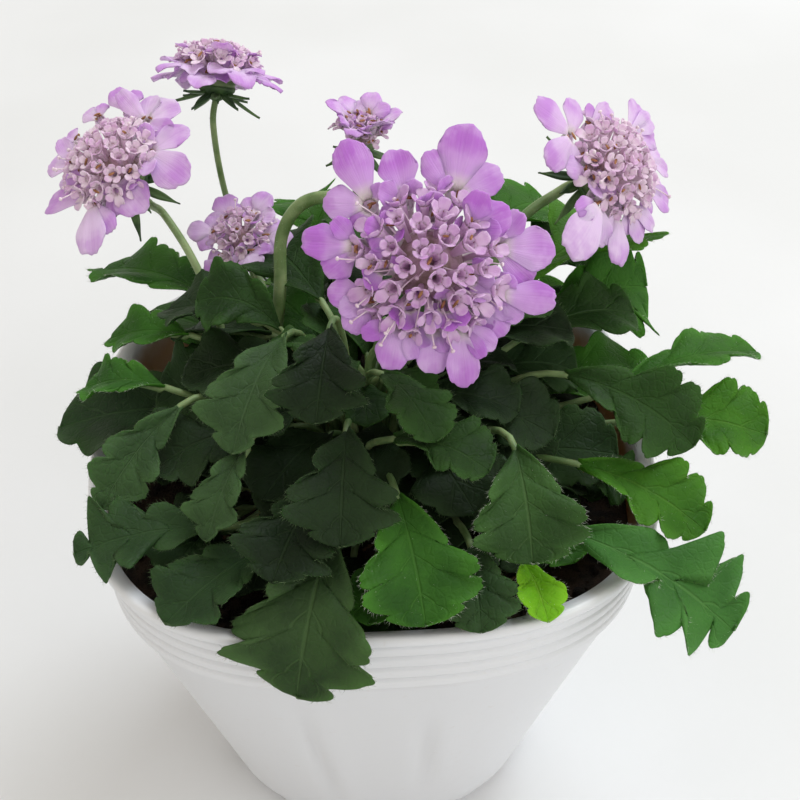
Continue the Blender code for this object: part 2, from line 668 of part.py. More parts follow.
class Placed:
    """All the solids that stand so far, as one searchable mesh."""

    def __init__(self):
        self.verts = []
        self.faces = []
        self.tree = None

    def add(self, bm, scale=1.0):
        first = len(self.verts)
        bm.verts.index_update()
        self.verts += [vert.co * scale for vert in bm.verts]
        self.faces += [[first + vert.index for vert in face.verts] for face in bm.faces]
        self.tree = BVHTree.FromPolygons(self.verts, self.faces)

    def add_object(self, item):
        bm = bmesh.new()
        bm.from_mesh(item.data)
        bmesh.ops.triangulate(bm, faces=bm.faces)
        self.add(bm, 1 / MM)
        bm.free()

    def touches(self, bm):
        return bool(self.tree.overlap(BVHTree.FromBMesh(bm)))


def make_leaves(plan, roots, placed, collection, material):
    """Place the leaves one by one, each bent clear of what stands already."""
    steps = settle_steps()
    for leaf, root in zip(plan, roots):
        for step in steps:
            trial = nudged(leaf, *step)
            bm = leaf_sheet(trial, root)
            thicken(bm, BLADE + CLEARANCE)
            clear = not placed.touches(bm)
            bm.free()
            if clear:
                break
        if not clear:
            raise RuntimeError("no room for leaf " + leaf.name)
        print("leaf", leaf.name, "settled by", step)
        bm = leaf_sheet(trial, root)
        thicken(bm, BLADE + CLEARANCE)
        placed.add(bm)
        bm.free()
        bm = leaf_sheet(trial, root)
        thicken(bm, BLADE)
        add_object("leaf_" + leaf.name, bm, collection, material)


def build():
    for item in list(bpy.data.objects):
        bpy.data.objects.remove(item)
    plant = new_collection("potted_scabious")
    cutters = new_collection("cutters")

    white = make_material("pot_white", (0.80, 0.81, 0.83), 0.45)
    earth = make_material("soil_dark", (0.035, 0.024, 0.017), 0.95)
    stem_green = make_material("stem_green", (0.16, 0.27, 0.10), 0.6)
    leaf_green = make_material("leaf_green", (0.045, 0.13, 0.035), 0.6)
    lilac = make_material("petal_lilac", (0.50, 0.25, 0.66), 0.55)

    pot = make_pot(plant, cutters, white)
    placed = Placed()
    placed.add_object(pot)

    roots = []
    holes = []
    for flower in FLOWERS.values():
        foot = flower.route[0][:2]
        roots.append(foot)
        holes.append((foot, (flower.stem_radius + STEM_HOLE_GAP) * math.sqrt(2)))
    plan = leaf_plan()
    leaf_roots = [find_root(leaf.neck, roots) for leaf in plan]
    holes += [(root, LEAF_HOLE) for root in leaf_roots]
    make_soil(plant, cutters, earth, holes)

    for key, flower in FLOWERS.items():
        placed.add_object(make_stem(f"stem_{key}", flower, plant, cutters, stem_green))
        placed.add_object(make_bloom(f"bloom_{key}", flower, plant, cutters, lilac))
    make_leaves(plan, leaf_roots, placed, plant, leaf_green)
    bpy.data.collections.remove(cutters)


build()
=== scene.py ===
# %% [markdown]
# A scabious in a soft white nursery pot, dressed for its portrait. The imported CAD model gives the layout.
# Its solids are coarse on purpose, so every one of them gets a finer piece here that keeps its form:
# leaves with veins and hairs, florets with a throat and five lobes, stems with a hairy skin. The camera,
# the floor and the lights come first, because every finish is judged in that light.

# %% Load the frame
import math
import random
from collections import namedtuple
from functools import lru_cache

import bmesh
import bpy
import numpy as np
from mathutils import Matrix, Vector, noise
from mathutils.bvhtree import BVHTree


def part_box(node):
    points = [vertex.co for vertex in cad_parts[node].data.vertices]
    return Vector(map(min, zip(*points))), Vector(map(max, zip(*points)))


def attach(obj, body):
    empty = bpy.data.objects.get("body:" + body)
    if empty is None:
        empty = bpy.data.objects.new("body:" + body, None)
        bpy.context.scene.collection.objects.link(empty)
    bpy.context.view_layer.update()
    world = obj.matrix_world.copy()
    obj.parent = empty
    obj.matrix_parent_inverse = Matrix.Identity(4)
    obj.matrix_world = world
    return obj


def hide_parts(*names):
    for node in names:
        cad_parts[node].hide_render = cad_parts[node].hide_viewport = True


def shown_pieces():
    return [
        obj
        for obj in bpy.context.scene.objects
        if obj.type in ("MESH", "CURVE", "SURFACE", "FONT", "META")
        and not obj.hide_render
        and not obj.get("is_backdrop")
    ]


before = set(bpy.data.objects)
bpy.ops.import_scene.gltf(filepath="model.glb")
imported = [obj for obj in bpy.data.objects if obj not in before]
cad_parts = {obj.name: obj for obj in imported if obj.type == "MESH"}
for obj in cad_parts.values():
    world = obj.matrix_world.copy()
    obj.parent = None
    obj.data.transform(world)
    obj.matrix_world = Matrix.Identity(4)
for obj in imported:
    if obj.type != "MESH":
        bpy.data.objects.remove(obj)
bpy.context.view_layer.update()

# Lengths below are millimetres, as in the part's source, and MM turns them into metres
MM = 0.001
POT_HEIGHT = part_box("pot")[1].z / MM
SOIL_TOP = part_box("soil")[1].z / MM
print("pot", round(POT_HEIGHT, 1), "mm high, soil up to", round(SOIL_TOP, 1), "mm")

# %% [markdown]
# The camera looks down at the pot from the front, close by, so the rim looks much wider than the base.
# A camera can be aimed with a Track To constraint or with a rotation worked out from two points. Two
# points are clearer here, because both can be read off the photograph's perspective.

# %% The camera
CAMERA_PLACE = Vector((-7.6, -188.6, 256.0))
CAMERA_TARGET = Vector((5.6, -0.4, 92.0))
SENSOR = 36.0
IMAGE_SIZE = 800.0
FOCAL_PIXELS = 1330.0

camera_data = bpy.data.cameras.new("camera")
camera_data.sensor_width = SENSOR
camera_data.lens = FOCAL_PIXELS / IMAGE_SIZE * SENSOR
camera_data.clip_start = 0.005
camera = bpy.data.objects.new("camera", camera_data)
camera.location = CAMERA_PLACE * MM
camera.rotation_euler = (CAMERA_TARGET - CAMERA_PLACE).to_track_quat("-Z", "Y").to_euler()
bpy.context.scene.collection.objects.link(camera)
bpy.context.scene.camera = camera
print("lens", round(camera_data.lens, 1), "mm")

# %% [markdown]
# The pot stands on a pale table in soft daylight. One broad lamp behind the plant and to the right makes
# the soft shadow that falls to the lower left. The pale world fills the rest. A warm world under a cooler
# lamp makes the shadow a little warm, as the photograph has it.

# %% The floor and the lights
FLOOR_SIZE = 8.0
LAMPS = {
    "window": ((700, 900, 1700), 1100, 20.6, (0.88, 0.95, 1.0)),
    "fill": ((1000, -900, 900), 1100, 5.5, (0.95, 0.98, 1.0)),
}
WORLD_COLOUR = (1.0, 0.945, 0.85)
WORLD_STRENGTH = 0.74

bpy.context.scene.view_settings.view_transform = "Standard"
world = bpy.data.worlds.new("soft_room")
world.use_nodes = True
background = world.node_tree.nodes["Background"]
background.inputs["Color"].default_value = (*WORLD_COLOUR, 1.0)
background.inputs["Strength"].default_value = WORLD_STRENGTH
bpy.context.scene.world = world

for lamp_name, (place, size, watts, colour) in LAMPS.items():
    lamp = bpy.data.lights.new(lamp_name, "AREA")
    lamp.shape = "DISK"
    lamp.size = size * MM
    lamp.energy = watts
    lamp.color = colour
    holder = bpy.data.objects.new(lamp_name, lamp)
    holder.location = Vector(place) * MM
    holder.rotation_euler = (CAMERA_TARGET - Vector(place)).to_track_quat("-Z", "Y").to_euler()
    bpy.context.scene.collection.objects.link(holder)

floor_bm = bmesh.new()
bmesh.ops.create_grid(floor_bm, x_segments=1, y_segments=1, size=FLOOR_SIZE / 2)
floor_mesh = bpy.data.meshes.new("floor")
floor_bm.to_mesh(floor_mesh)
floor_bm.free()
floor = bpy.data.objects.new("floor", floor_mesh)
bpy.context.scene.collection.objects.link(floor)
floor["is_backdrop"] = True
print("lamps:", ", ".join(LAMPS))

# %% [markdown]
# Colours below are written as the eye reads them on a screen, from 0 to 255, and turned into the linear
# values that a shader wants. Each material is one Principled shader. The tissue effects that several
# materials share are node groups, built once and placed in each material with their own values.

# %% Helpers for materials and node groups


def shade(red, green, blue):
    """A linear colour from screen values."""
    values = [value / 255 for value in (red, green, blue)]
    return [value / 12.92 if value < 0.04 else ((value + 0.055) / 1.055) ** 2.4 for value in values] + [1.0]


def start_group(name, inputs, outputs):
    """A node group with named inputs (name, kind, default) and outputs (name, kind)."""
    tree = bpy.data.node_groups.new(name, "ShaderNodeTree")
    for title, kind, default in inputs:
        socket = tree.interface.new_socket(title, in_out="INPUT", socket_type="NodeSocket" + kind)
        socket.default_value = default
    for title, kind in outputs:
        tree.interface.new_socket(title, in_out="OUTPUT", socket_type="NodeSocket" + kind)
    return tree, tree.nodes.new("NodeGroupInput").outputs, tree.nodes.new("NodeGroupOutput").inputs


def plug(tree, socket, value):
    """Feed a socket from another socket, or set it to a value."""
    if isinstance(value, bpy.types.NodeSocket):
        tree.links.new(value, socket)
    else:
        socket.default_value = value


def maths(tree, operation, *values):
    """The result of one operation on sockets or numbers."""
    node = tree.nodes.new("ShaderNodeMath")
    node.operation = operation
    for socket, value in zip(node.inputs, values):
        plug(tree, socket, value)
    return node.outputs[0]


def ramp(tree, value, low, high, start=0.0, end=1.0):
    """A smooth change from start to end while value goes from low to high."""
    node = tree.nodes.new("ShaderNodeMapRange")
    node.interpolation_type = "SMOOTHSTEP"
    for title, number in (("Value", value), ("From Min", low), ("From Max", high), ("To Min", start),
                          ("To Max", end)):
        plug(tree, node.inputs[title], number)
    return node.outputs["Result"]


def mixed(tree, share, first, second):
    """A colour between two others."""
    node = tree.nodes.new("ShaderNodeMix")
    node.data_type = "RGBA"
    plug(tree, node.inputs[0], share)
    plug(tree, node.inputs[6], first)
    plug(tree, node.inputs[7], second)
    return node.outputs[2]


def grain(tree, scale, detail=3.0, stretch=None, coordinates="Object"):
    """Noise, in cells per metre on object coordinates, or per unit on the UV map."""
    place = tree.nodes.new("ShaderNodeTexCoord").outputs[coordinates]
    if stretch:
        mapping = tree.nodes.new("ShaderNodeMapping")
        mapping.inputs["Scale"].default_value = stretch
        tree.links.new(place, mapping.inputs["Vector"])
        place = mapping.outputs["Vector"]
    node = tree.nodes.new("ShaderNodeTexNoise")
    tree.links.new(place, node.inputs["Vector"])
    plug(tree, node.inputs["Scale"], scale)
    node.inputs["Detail"].default_value = detail
    return node.outputs["Fac"]


def tone_of(tree):
    """The number that each leaf, lobe or wall carries as its tone, from 0 to 1."""
    node = tree.nodes.new("ShaderNodeAttribute")
    node.attribute_name = "tone"
    return node.outputs["Fac"]


def make_material(name, group, values, roughness, bump, bump_distance, **constants):
    """A material whose group gives Colour and Height; constants go straight on the shader's sockets."""
    material = bpy.data.materials.new(name)
    material.use_nodes = True
    tree = material.node_tree
    shader = tree.nodes["Principled BSDF"]
    node = tree.nodes.new("ShaderNodeGroup")
    node.node_tree = group
    for title, value in values.items():
        node.inputs[title].default_value = value
    tree.links.new(node.outputs["Colour"], shader.inputs["Base Color"])
    shader.inputs["Roughness"].default_value = roughness
    for title, value in constants.items():
        shader.inputs[title.replace("_", " ")].default_value = value
    if bump:
        relief = tree.nodes.new("ShaderNodeBump")
        relief.inputs["Strength"].default_value = bump
        relief.inputs["Distance"].default_value = bump_distance
        tree.links.new(node.outputs["Height"], relief.inputs["Height"])
        tree.links.new(relief.outputs["Normal"], shader.inputs["Normal"])
    return material


# %% [markdown]
# Speckle is the plainest effect: a slow change between two colours with a fine grain on top. The table,
# the soil, the stems, the hairs and the small flower parts all use it at their own scale.

# %% The speckle group
speckle, given, out = start_group(
    "speckle",
    [("Dark", "Color", (0, 0, 0, 1)), ("Light", "Color", (1, 1, 1, 1)), ("Patch Scale", "Float", 100.0),
     ("Grain Scale", "Float", 1500.0), ("Grain Share", "Float", 0.3)],
    [("Colour", "Color"), ("Height", "Float")])
patches = grain(speckle, given["Patch Scale"])
fine = grain(speckle, given["Grain Scale"], 2.0)
share = maths(speckle, "ADD", ramp(speckle, patches, 0.35, 0.65),
              maths(speckle, "MULTIPLY", given["Grain Share"], maths(speckle, "SUBTRACT", fine, 0.5)))
plug(speckle, out["Colour"], mixed(speckle, share, given["Dark"], given["Light"]))
plug(speckle, out["Height"], fine)


def speckled(name, dark, light, patch_scale, roughness, bump=0.0, bump_distance=0.0002,
             grain_scale=1500.0, grain_share=0.3, **constants):
    """A speckled material between two screen colours."""
    values = {"Dark": shade(*dark), "Light": shade(*light), "Patch Scale": patch_scale,
              "Grain Scale": grain_scale, "Grain Share": grain_share}
    return make_material(name, speckle, values, roughness, bump, bump_distance, **constants)


FLOOR_DARK = (220, 221, 223)
FLOOR_LIGHT = (226, 227, 230)
table_white = speckled("table_white", FLOOR_DARK, FLOOR_LIGHT, 6.0, 0.6, 0.05,
                       grain_scale=400.0, grain_share=0.2)
floor.data.materials.append(table_white)
print("group", speckle.name, "and material", table_white.name)

# %% [markdown]
# The helpers below build every fine mesh. A leaf, a petal lobe and a bract are all a grid of points that
# gets two faces and a thin edge. A stem is a tube along a line. A hair is a three sided spike. Hair
# particles would be quicker to set up, but they can't be exported, and a spike is only four faces.

# %% Helpers for meshes
Part = namedtuple("Part", "points faces uv tone paint")


@lru_cache(maxsize=None)
def sheet_faces(rows, cols):
    """Faces of a closed sheet: a top grid, then a bottom grid, joined along the edge."""
    index = np.arange(rows * cols).reshape(rows, cols)
    top = np.stack([index[:-1, :-1], index[1:, :-1], index[1:, 1:], index[:-1, 1:]], axis=-1).reshape(-1, 4)
    bottom = top[:, ::-1] + rows * cols
    edge = np.concatenate([index[:, 0], index[-1, 1:], index[-2::-1, -1], index[0, -2:0:-1]])
    after = np.roll(edge, -1)
    rim = np.stack([edge + rows * cols, after + rows * cols, after, edge], axis=-1)
    return np.concatenate([top, bottom, rim]).tolist()


def sheet(points, thickness, uv, tone, paint):
    """A thin closed body on a grid of points (rows, columns, 3)."""
    rows, cols = points.shape[:2]
    normal = np.cross(np.gradient(points, axis=0), np.gradient(points, axis=1))
    normal /= np.linalg.norm(normal, axis=2, keepdims=True) + 1e-9
    half = normal * (np.asarray(thickness)[..., None] / 2)
    both = np.concatenate([(points + half).reshape(-1, 3), (points - half).reshape(-1, 3)])
    return Part(both, sheet_faces(rows, cols), np.tile(uv.reshape(-1, 2), (2, 1)), tone, paint)


def around(reach, angle, height):
    """The point at a distance from the upright axis, in a direction and at a height."""
    return (reach * math.cos(angle), reach * math.sin(angle), height)


def ring_faces(rings, sides):
    """The faces that join rings of points, each ring to the one after it."""
    faces = []
    for low in range(0, (rings - 1) * sides, sides):
        for corner in range(sides):
            after = (corner + 1) % sides
            faces.append([low + corner, low + after, low + sides + after, low + sides + corner])
    return faces


def tube(path, radii, sides, tone, paint, ridges=0, ridge_depth=0.0):
    """A closed tube along a path, with its ends capped."""
    path = np.asarray(path, float)
    along = np.gradient(path, axis=0)
    along /= np.linalg.norm(along, axis=1, keepdims=True)
    side = np.cross(along[0], (0.3, 0.9, 0.2))
    rings, uv = [], []
    angles = np.arange(sides) * math.tau / sides
    ripple = 1 + ridge_depth * np.cos(ridges * angles)
    for number, (place, ahead, radius) in enumerate(zip(path, along, radii)):
        side = side - ahead * side.dot(ahead)
        side /= np.linalg.norm(side)
        over = np.cross(ahead, side)
        reach = (radius * ripple)[:, None]
        rings.append(place + reach * (np.cos(angles)[:, None] * side + np.sin(angles)[:, None] * over))
        uv.append(np.stack([angles / math.tau, np.full(sides, number / len(path))], axis=1))
    faces = ring_faces(len(path), sides)
    faces.append(list(range(sides))[::-1])
    faces.append([(len(path) - 1) * sides + corner for corner in range(sides)])
    return Part(np.concatenate(rings), faces, np.concatenate(uv), tone, paint)


def hairs(roots, ways, lengths, radius, tone, paint):
    """One slim three sided spike for each root, standing in its way."""
    roots, ways = np.asarray(roots), np.asarray(ways)
    ways = ways / (np.linalg.norm(ways, axis=1, keepdims=True) + 1e-9)
    side = np.cross(ways, (0.37, 0.61, 0.71))
    side /= np.linalg.norm(side, axis=1, keepdims=True) + 1e-9
    over = np.cross(ways, side)
    sunk = roots - ways * radius
    corners = [sunk + radius * (math.cos(turn) * side + math.sin(turn) * over)
               for turn in (0, math.tau / 3, -math.tau / 3)]
    points = np.stack(corners + [roots + ways * np.asarray(lengths)[:, None]], axis=1).reshape(-1, 3)
    faces = []
    for first in range(0, 4 * len(roots), 4):
        a, b, c, tip = range(first, first + 4)
        faces += [[a, b, tip], [b, c, tip], [c, a, tip], [a, c, b]]
    return Part(points, faces, np.zeros((len(points), 2)), tone, paint)


def bead(place, radii, way, tone, paint, rings, sides):
    """A small closed ball or capsule, stretched along a way."""
    way = Vector(way).normalized()
    turn = np.array(way.to_track_quat("Z", "Y").to_matrix())
    points, uv = [], []
    for ring in range(1, rings):
        polar = math.pi * ring / rings
        for corner in range(sides):
            angle = math.tau * corner / sides
            points.append((math.sin(polar) * math.cos(angle) * radii[0],
                           math.sin(polar) * math.sin(angle) * radii[1], -math.cos(polar) * radii[2]))
            uv.append((corner / sides, ring / rings))
    points += [(0, 0, -radii[2]), (0, 0, radii[2])]
    uv += [(0, 0), (0, 1)]
    faces = []
    south, north = len(points) - 2, len(points) - 1
    for corner in range(sides):
        after = (corner + 1) % sides
        faces.append([south, after, corner])
        for ring in range(rings - 2):
            low, high = ring * sides, (ring + 1) * sides
            faces.append([low + corner, low + after, high + after, high + corner])
        faces.append([(rings - 2) * sides + corner, (rings - 2) * sides + after, north])
    return Part(np.array(points) @ turn.T + np.array(place), faces, np.array(uv), tone, paint)


def moved(part, matrix):
    """The same part, carried by a matrix."""
    matrix = np.array(matrix)
    return part._replace(points=part.points @ matrix[:3, :3].T + matrix[:3, 3])


def add_piece(name, parts, slot, *stands_for):
    """One object from many parts, in metres, with the materials that its parts name."""
    paints = list(dict.fromkeys(part.paint for part in parts))
    points, faces, uv, tones, slots = [], [], [], [], []
    first = 0
    for part in parts:
        points.append(part.points)
        faces += [[first + corner for corner in face] for face in part.faces]
        uv.append(part.uv)
        tones.append(np.broadcast_to(part.tone, len(part.points)))
        slots += [paints.index(part.paint)] * len(part.faces)
        first += len(part.points)
    mesh = bpy.data.meshes.new(name)
    mesh.from_pydata(np.concatenate(points) * MM, [], faces)
    corners = np.empty(len(mesh.loops), dtype=np.int32)
    mesh.loops.foreach_get("vertex_index", corners)
    mesh.uv_layers.new(name="UVMap").data.foreach_set("uv", np.concatenate(uv)[corners].ravel())
    mesh.attributes.new("tone", "FLOAT", "POINT").data.foreach_set("value", np.concatenate(tones))
    mesh.polygons.foreach_set("material_index", slots)
    mesh.shade_smooth()
    for paint in paints:
        mesh.materials.append(paint)
    piece = bpy.data.objects.new(name, mesh)
    bpy.context.scene.collection.objects.link(piece)
    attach(piece, "root")
    if stands_for:
        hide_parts(*stands_for)
    return piece


def smooth_step(low, high, value):
    """A smooth change from 0 to 1 while value goes from low to high."""
    share = np.clip((value - low) / (high - low), 0.0, 1.0)
    return share * share * (3.0 - 2.0 * share)


# %% [markdown]
# A nursery pot is blown or pressed from thin soft plastic. Light gets into its wall, so it looks a little
# milky, and wet soil has stained it tan inside. It could be a turned curve with a Screw modifier, but the
# wall is also a touch square, bruised by handling and creased, so its points are worked out ring by ring.
# The tone of a point is 1 inside and 0 outside, which tells the stain where to go.

# %% The pot's finish
plastic, given, out = start_group(
    "stained_plastic",
    [("Clean", "Color", (1, 1, 1, 1)), ("Stain", "Color", (0.5, 0.4, 0.3, 1)),
     ("Rim Height", "Float", 0.086), ("Stain Depth", "Float", 0.012)],
    [("Colour", "Color"), ("Height", "Float")])
place = plastic.nodes.new("ShaderNodeTexCoord").outputs["Object"]
split = plastic.nodes.new("ShaderNodeSeparateXYZ")
plastic.links.new(place, split.inputs[0])
low_wall = maths(plastic, "DIVIDE", maths(plastic, "SUBTRACT", given["Rim Height"], split.outputs["Z"]),
                 given["Stain Depth"])
blotch = grain(plastic, 90.0, 4.0)
dirt = ramp(plastic, maths(plastic, "ADD", low_wall, maths(plastic, "MULTIPLY", blotch, 0.9)), 0.55, 1.15)
dirt = maths(plastic, "MULTIPLY", dirt, tone_of(plastic))
scuffs = ramp(plastic, grain(plastic, 700.0, 5.0), 0.62, 0.8, 0.0, 0.10)
clean = mixed(plastic, scuffs, given["Clean"], given["Stain"])
plug(plastic, out["Colour"], mixed(plastic, dirt, clean, given["Stain"]))
waves = grain(plastic, 45.0)
plug(plastic, out["Height"], maths(plastic, "ADD", waves, maths(plastic, "MULTIPLY", blotch, 0.3)))

pot_white = make_material(
    "pot_white", plastic, {"Clean": shade(226, 228, 233), "Stain": shade(184, 158, 124),
                           "Rim Height": POT_HEIGHT * MM}, 0.38, 0.25, 0.0008,
    Subsurface_Weight=0.25, Subsurface_Scale=0.004, Subsurface_Radius=(1.0, 0.95, 0.9))
print("material", pot_white.name)

# %% The pot
RIM_HALF = 52.5
COLLAR_HALF = 50.0
COLLAR_DEPTH = 15.5
BASE_HALF = 33.0
WALL = 1.2
LIP_OUT = 1.6
LIP_DEPTH = 2.2
RIB_COUNT = 4
RIB_PITCH = 3.1
RIB_STAND = 0.8
RIB_TOP = 4.6
RIB_ROWS = 12
GROOVE_HALF = 0.42
BASE_ROUND = 3.0
RIM_SQUARE = 3.0
BASE_SQUARE = 2.2
SLOT_COUNT = 8
SLOT_FIRST = 22.5
SLOT_LONG = 7.0
SLOT_WIDE = 3.2
SLOT_DEEP = 12.0
SLOT_TILT = 55.0
SLOT_SIDES = 24
POT_SIDES = 180
UNDERSIDE_RINGS = (0.0, 8.0, 16.0, 22.0)
EDGE_STEPS = 6
WALL_STEP = 3.0
LIP_STEPS = 8
LIP_FIRST = -65.0
LIP_TURN = 185.0
INSIDE_ROWS = 26
# Creases where soft plastic has folded: direction in degrees, lowest and highest end, depth
CREASES = ((-105.0, 8, 68, 0.8), (-78.5, 18, 60, 0.7), (150.0, 20, 66, 0.5), (20.0, 12, 55, 0.5))
CREASE_HALF = 1.6
CREASE_LEAN = 0.06
# Beside a crease the wall swells: how much of the depth, how far off and how wide
SWELL_SHARE = 0.45
SWELL_OFF = 3.4
SWELL_HALF = 2.4
BRUISE = 0.35


def squared(angle, power):
    """How far a rounded square reaches at an angle, where a circle reaches 1."""
    across = np.abs(np.cos(angle)) ** power + np.abs(np.sin(angle)) ** power
    return across ** (-1.0 / power)


def wall_radius(height):
    """The outside of the wall: a tapered tub with a nearly upright collar."""
    knee = POT_HEIGHT - COLLAR_DEPTH
    if height < knee:
        return BASE_HALF + (COLLAR_HALF - BASE_HALF) * height / knee
    return COLLAR_HALF + (RIM_HALF - LIP_OUT - COLLAR_HALF) * (height - knee) / COLLAR_DEPTH


def rib_stand(height):
    """How far the ribs under the lip stand out at a height: broad ribs with narrow grooves between."""
    under = (POT_HEIGHT - RIB_TOP - height) / RIB_PITCH
    if not -0.5 <= under <= RIB_COUNT - 0.5:
        return 0.0
    groove = ((under + 0.5) % 1.0 - 0.5) * RIB_PITCH
    return RIB_STAND * (1 - math.exp(-((abs(groove) - RIB_PITCH / 2) / GROOVE_HALF) ** 2))


def pot_profile():
    """(radius, height, tone) from the middle of the underside, up the outside and down the inside."""
    rows = [(radius, 0.0, 0.0) for radius in UNDERSIDE_RINGS]
    flat = wall_radius(0) - BASE_ROUND
    for step in range(EDGE_STEPS + 1):
        turn = math.pi / 2 * step / EDGE_STEPS
        rows.append((flat + BASE_ROUND * math.sin(turn), BASE_ROUND * (1 - math.cos(turn)), 0.0))
    for height in np.arange(2 * BASE_ROUND, POT_HEIGHT - RIB_TOP - RIB_COUNT * RIB_PITCH, WALL_STEP):
        rows.append((wall_radius(height), height, 0.0))
    rib_start = POT_HEIGHT - RIB_TOP - (RIB_COUNT - 0.5) * RIB_PITCH
    for height in np.arange(rib_start, POT_HEIGHT - LIP_DEPTH - 0.6, RIB_PITCH / RIB_ROWS):
        rows.append((wall_radius(height) + rib_stand(height), height, 0.0))
    middle, high, half = RIM_HALF - LIP_OUT / 2, POT_HEIGHT - LIP_DEPTH / 2, LIP_DEPTH / 2
    rows.append((wall_radius(high - half) + 0.25, high - half - 0.15, 0.0))
    for step in range(LIP_STEPS + 1):
        turn = math.radians(LIP_FIRST + LIP_TURN * step / LIP_STEPS)
        rows.append((middle + LIP_OUT / 2 * math.cos(turn), high + half * math.sin(turn), 0.0))
    rows.append((wall_radius(POT_HEIGHT) - WALL, POT_HEIGHT - 0.9, 0.0))
    for height in np.linspace(POT_HEIGHT - 2.5, 5.0, INSIDE_ROWS):
        rows.append((wall_radius(height) - WALL, height, 1.0))
    rows += [(wall_radius(0) - BASE_ROUND, WALL, 1.0), (12.0, WALL, 1.0), (0.0, WALL, 1.0)]
    return rows


def crease_depth(angle, height):
    """How far the creases push the wall in at a point."""
    depth = 0.0
    for way, low, high, deep in CREASES:
        off = (angle - math.radians(way) + math.pi) % math.tau - math.pi
        along = math.sin(math.pi * min(max((height - low) / (high - low), 0.0), 1.0))
        lean = off * wall_radius(height) + CREASE_LEAN * (height - low)
        depth += deep * along * math.exp(-((lean / CREASE_HALF) ** 2))
        depth -= SWELL_SHARE * deep * along * math.exp(-(((lean - SWELL_OFF) / SWELL_HALF) ** 2))
    return depth


def build_pot():
    """The pot as one closed skin: each row of the profile becomes a ring."""
    rows = pot_profile()
    points, uv, tones = [], [], []
    for number, (radius, height, tone) in enumerate(rows):
        power = BASE_SQUARE + (RIM_SQUARE - BASE_SQUARE) * height / POT_HEIGHT
        for corner in range(POT_SIDES):
            angle = math.tau * corner / POT_SIDES
            soft = noise.noise(Vector((2 * math.cos(angle), 2 * math.sin(angle), height / 40)))
            reach = radius * squared(angle, power)
            if radius > BASE_HALF - 1:
                reach += BRUISE * soft * height / POT_HEIGHT - crease_depth(angle, height)
            points.append(around(reach, angle, height))
            uv.append((corner / POT_SIDES, number / len(rows)))
            tones.append(tone)
    faces = ring_faces(len(rows), POT_SIDES)
    part = Part(np.array(points), faces, np.array(uv), np.array(tones), pot_white)
    pot = add_piece("pot_shell", [part], "pot", "pot")
    bm = bmesh.new()
    bm.from_mesh(pot.data)
    bmesh.ops.remove_doubles(bm, verts=bm.verts, dist=0.01 * MM)
    bmesh.ops.dissolve_degenerate(bm, edges=bm.edges, dist=0.005 * MM)
    bmesh.ops.recalc_face_normals(bm, faces=bm.faces)
    bm.to_mesh(pot.data)
    bm.free()
    return pot


def cut_slots(pot):
    """Drain slots through the round edge of the base."""
    bm = bmesh.new()
    for number in range(SLOT_COUNT):
        made = bmesh.ops.create_cone(bm, cap_ends=True, segments=SLOT_SIDES, radius1=SLOT_WIDE / 2,
                                     radius2=SLOT_WIDE / 2, depth=SLOT_DEEP)["verts"]
        bmesh.ops.scale(bm, vec=(1, SLOT_LONG / SLOT_WIDE, 1), verts=made)
        angle = math.radians(SLOT_FIRST + number * 360.0 / SLOT_COUNT)
        reach = wall_radius(0) * squared(angle, BASE_SQUARE)
        tilt = Matrix.Rotation(math.radians(SLOT_TILT), 4, "Y")
        spot = Matrix.Translation((reach - 0.6, 0, BASE_ROUND * 0.5)) @ tilt
        bmesh.ops.transform(bm, matrix=Matrix.Rotation(angle, 4, "Z") @ spot, verts=made)
    bmesh.ops.scale(bm, vec=(MM, MM, MM), verts=bm.verts)
    mesh = bpy.data.meshes.new("slots")
    bm.to_mesh(mesh)
    bm.free()
    cutter = bpy.data.objects.new("slots", mesh)
    bpy.context.scene.collection.objects.link(cutter)
    modifier = pot.modifiers.new("slots", "BOOLEAN")
    modifier.operation = "DIFFERENCE"
    modifier.object = cutter
    modifier.solver = "EXACT"
    graph = bpy.context.evaluated_depsgraph_get()
    cut = bpy.data.meshes.new_from_object(pot.evaluated_get(graph))
    pot.modifiers.remove(modifier)
    pot.data = cut
    bpy.data.objects.remove(cutter)


pot = build_pot()
cut_slots(pot)
print("pot_shell", len(pot.data.polygons), "faces")

# %% [markdown]
# Potting soil is dark, damp and full of crumbs and bark fibres. Under the leaves little of it shows, but
# a flat lid would show from the side and from above. The bed is a turned body whose top is pushed up
# and down by noise, and crumbs and fibres lie on it.

# %% The soil
soil_dark = speckled("soil_dark", (24, 19, 15), (66, 50, 38), 260.0, 0.95, 0.9, 0.0006,
                     grain_scale=2600.0, grain_share=0.9)
bark = speckled("bark", (52, 36, 24), (116, 88, 60), 420.0, 0.9, 0.6, 0.0003,
                grain_scale=3000.0, grain_share=0.8)
SOIL_GAP = 0.35
SOIL_RINGS = 44
SOIL_SIDES = 132
SOIL_SEED = 5
SOIL_MEAN = -1.6
# Waves of the bed: how long, how high and where in the noise
SOIL_WAVES = ((7, 1.0, 3.0), (2.2, 0.7, 8.0))
CRUMBS = 620
CRUMB_SIZE = (0.35, 1.3)
CRUMB_SHAKE = 0.16
FIBRES = 110
FIBRE_LONG = (2.5, 7)
FIBRE_WIDE = (0.12, 0.45)
FIBRE_LIFT = 0.45


def soil_rise(x, y):
    """Height of the soil's surface over its mean level."""
    near_wall = max(0.0, math.hypot(x, y) / 44.0 - 0.8)
    rough = sum(noise.noise(Vector((x / long, y / long, layer))) * high for long, high, layer in SOIL_WAVES)
    return rough + SOIL_MEAN + 1.5 * near_wall


def soil_reach(angle, height):
    """How far the soil goes at an angle, just short of the wall's inside."""
    power = BASE_SQUARE + (RIM_SQUARE - BASE_SQUARE) * height / POT_HEIGHT
    return (wall_radius(height) - WALL - SOIL_GAP) * squared(angle, power)


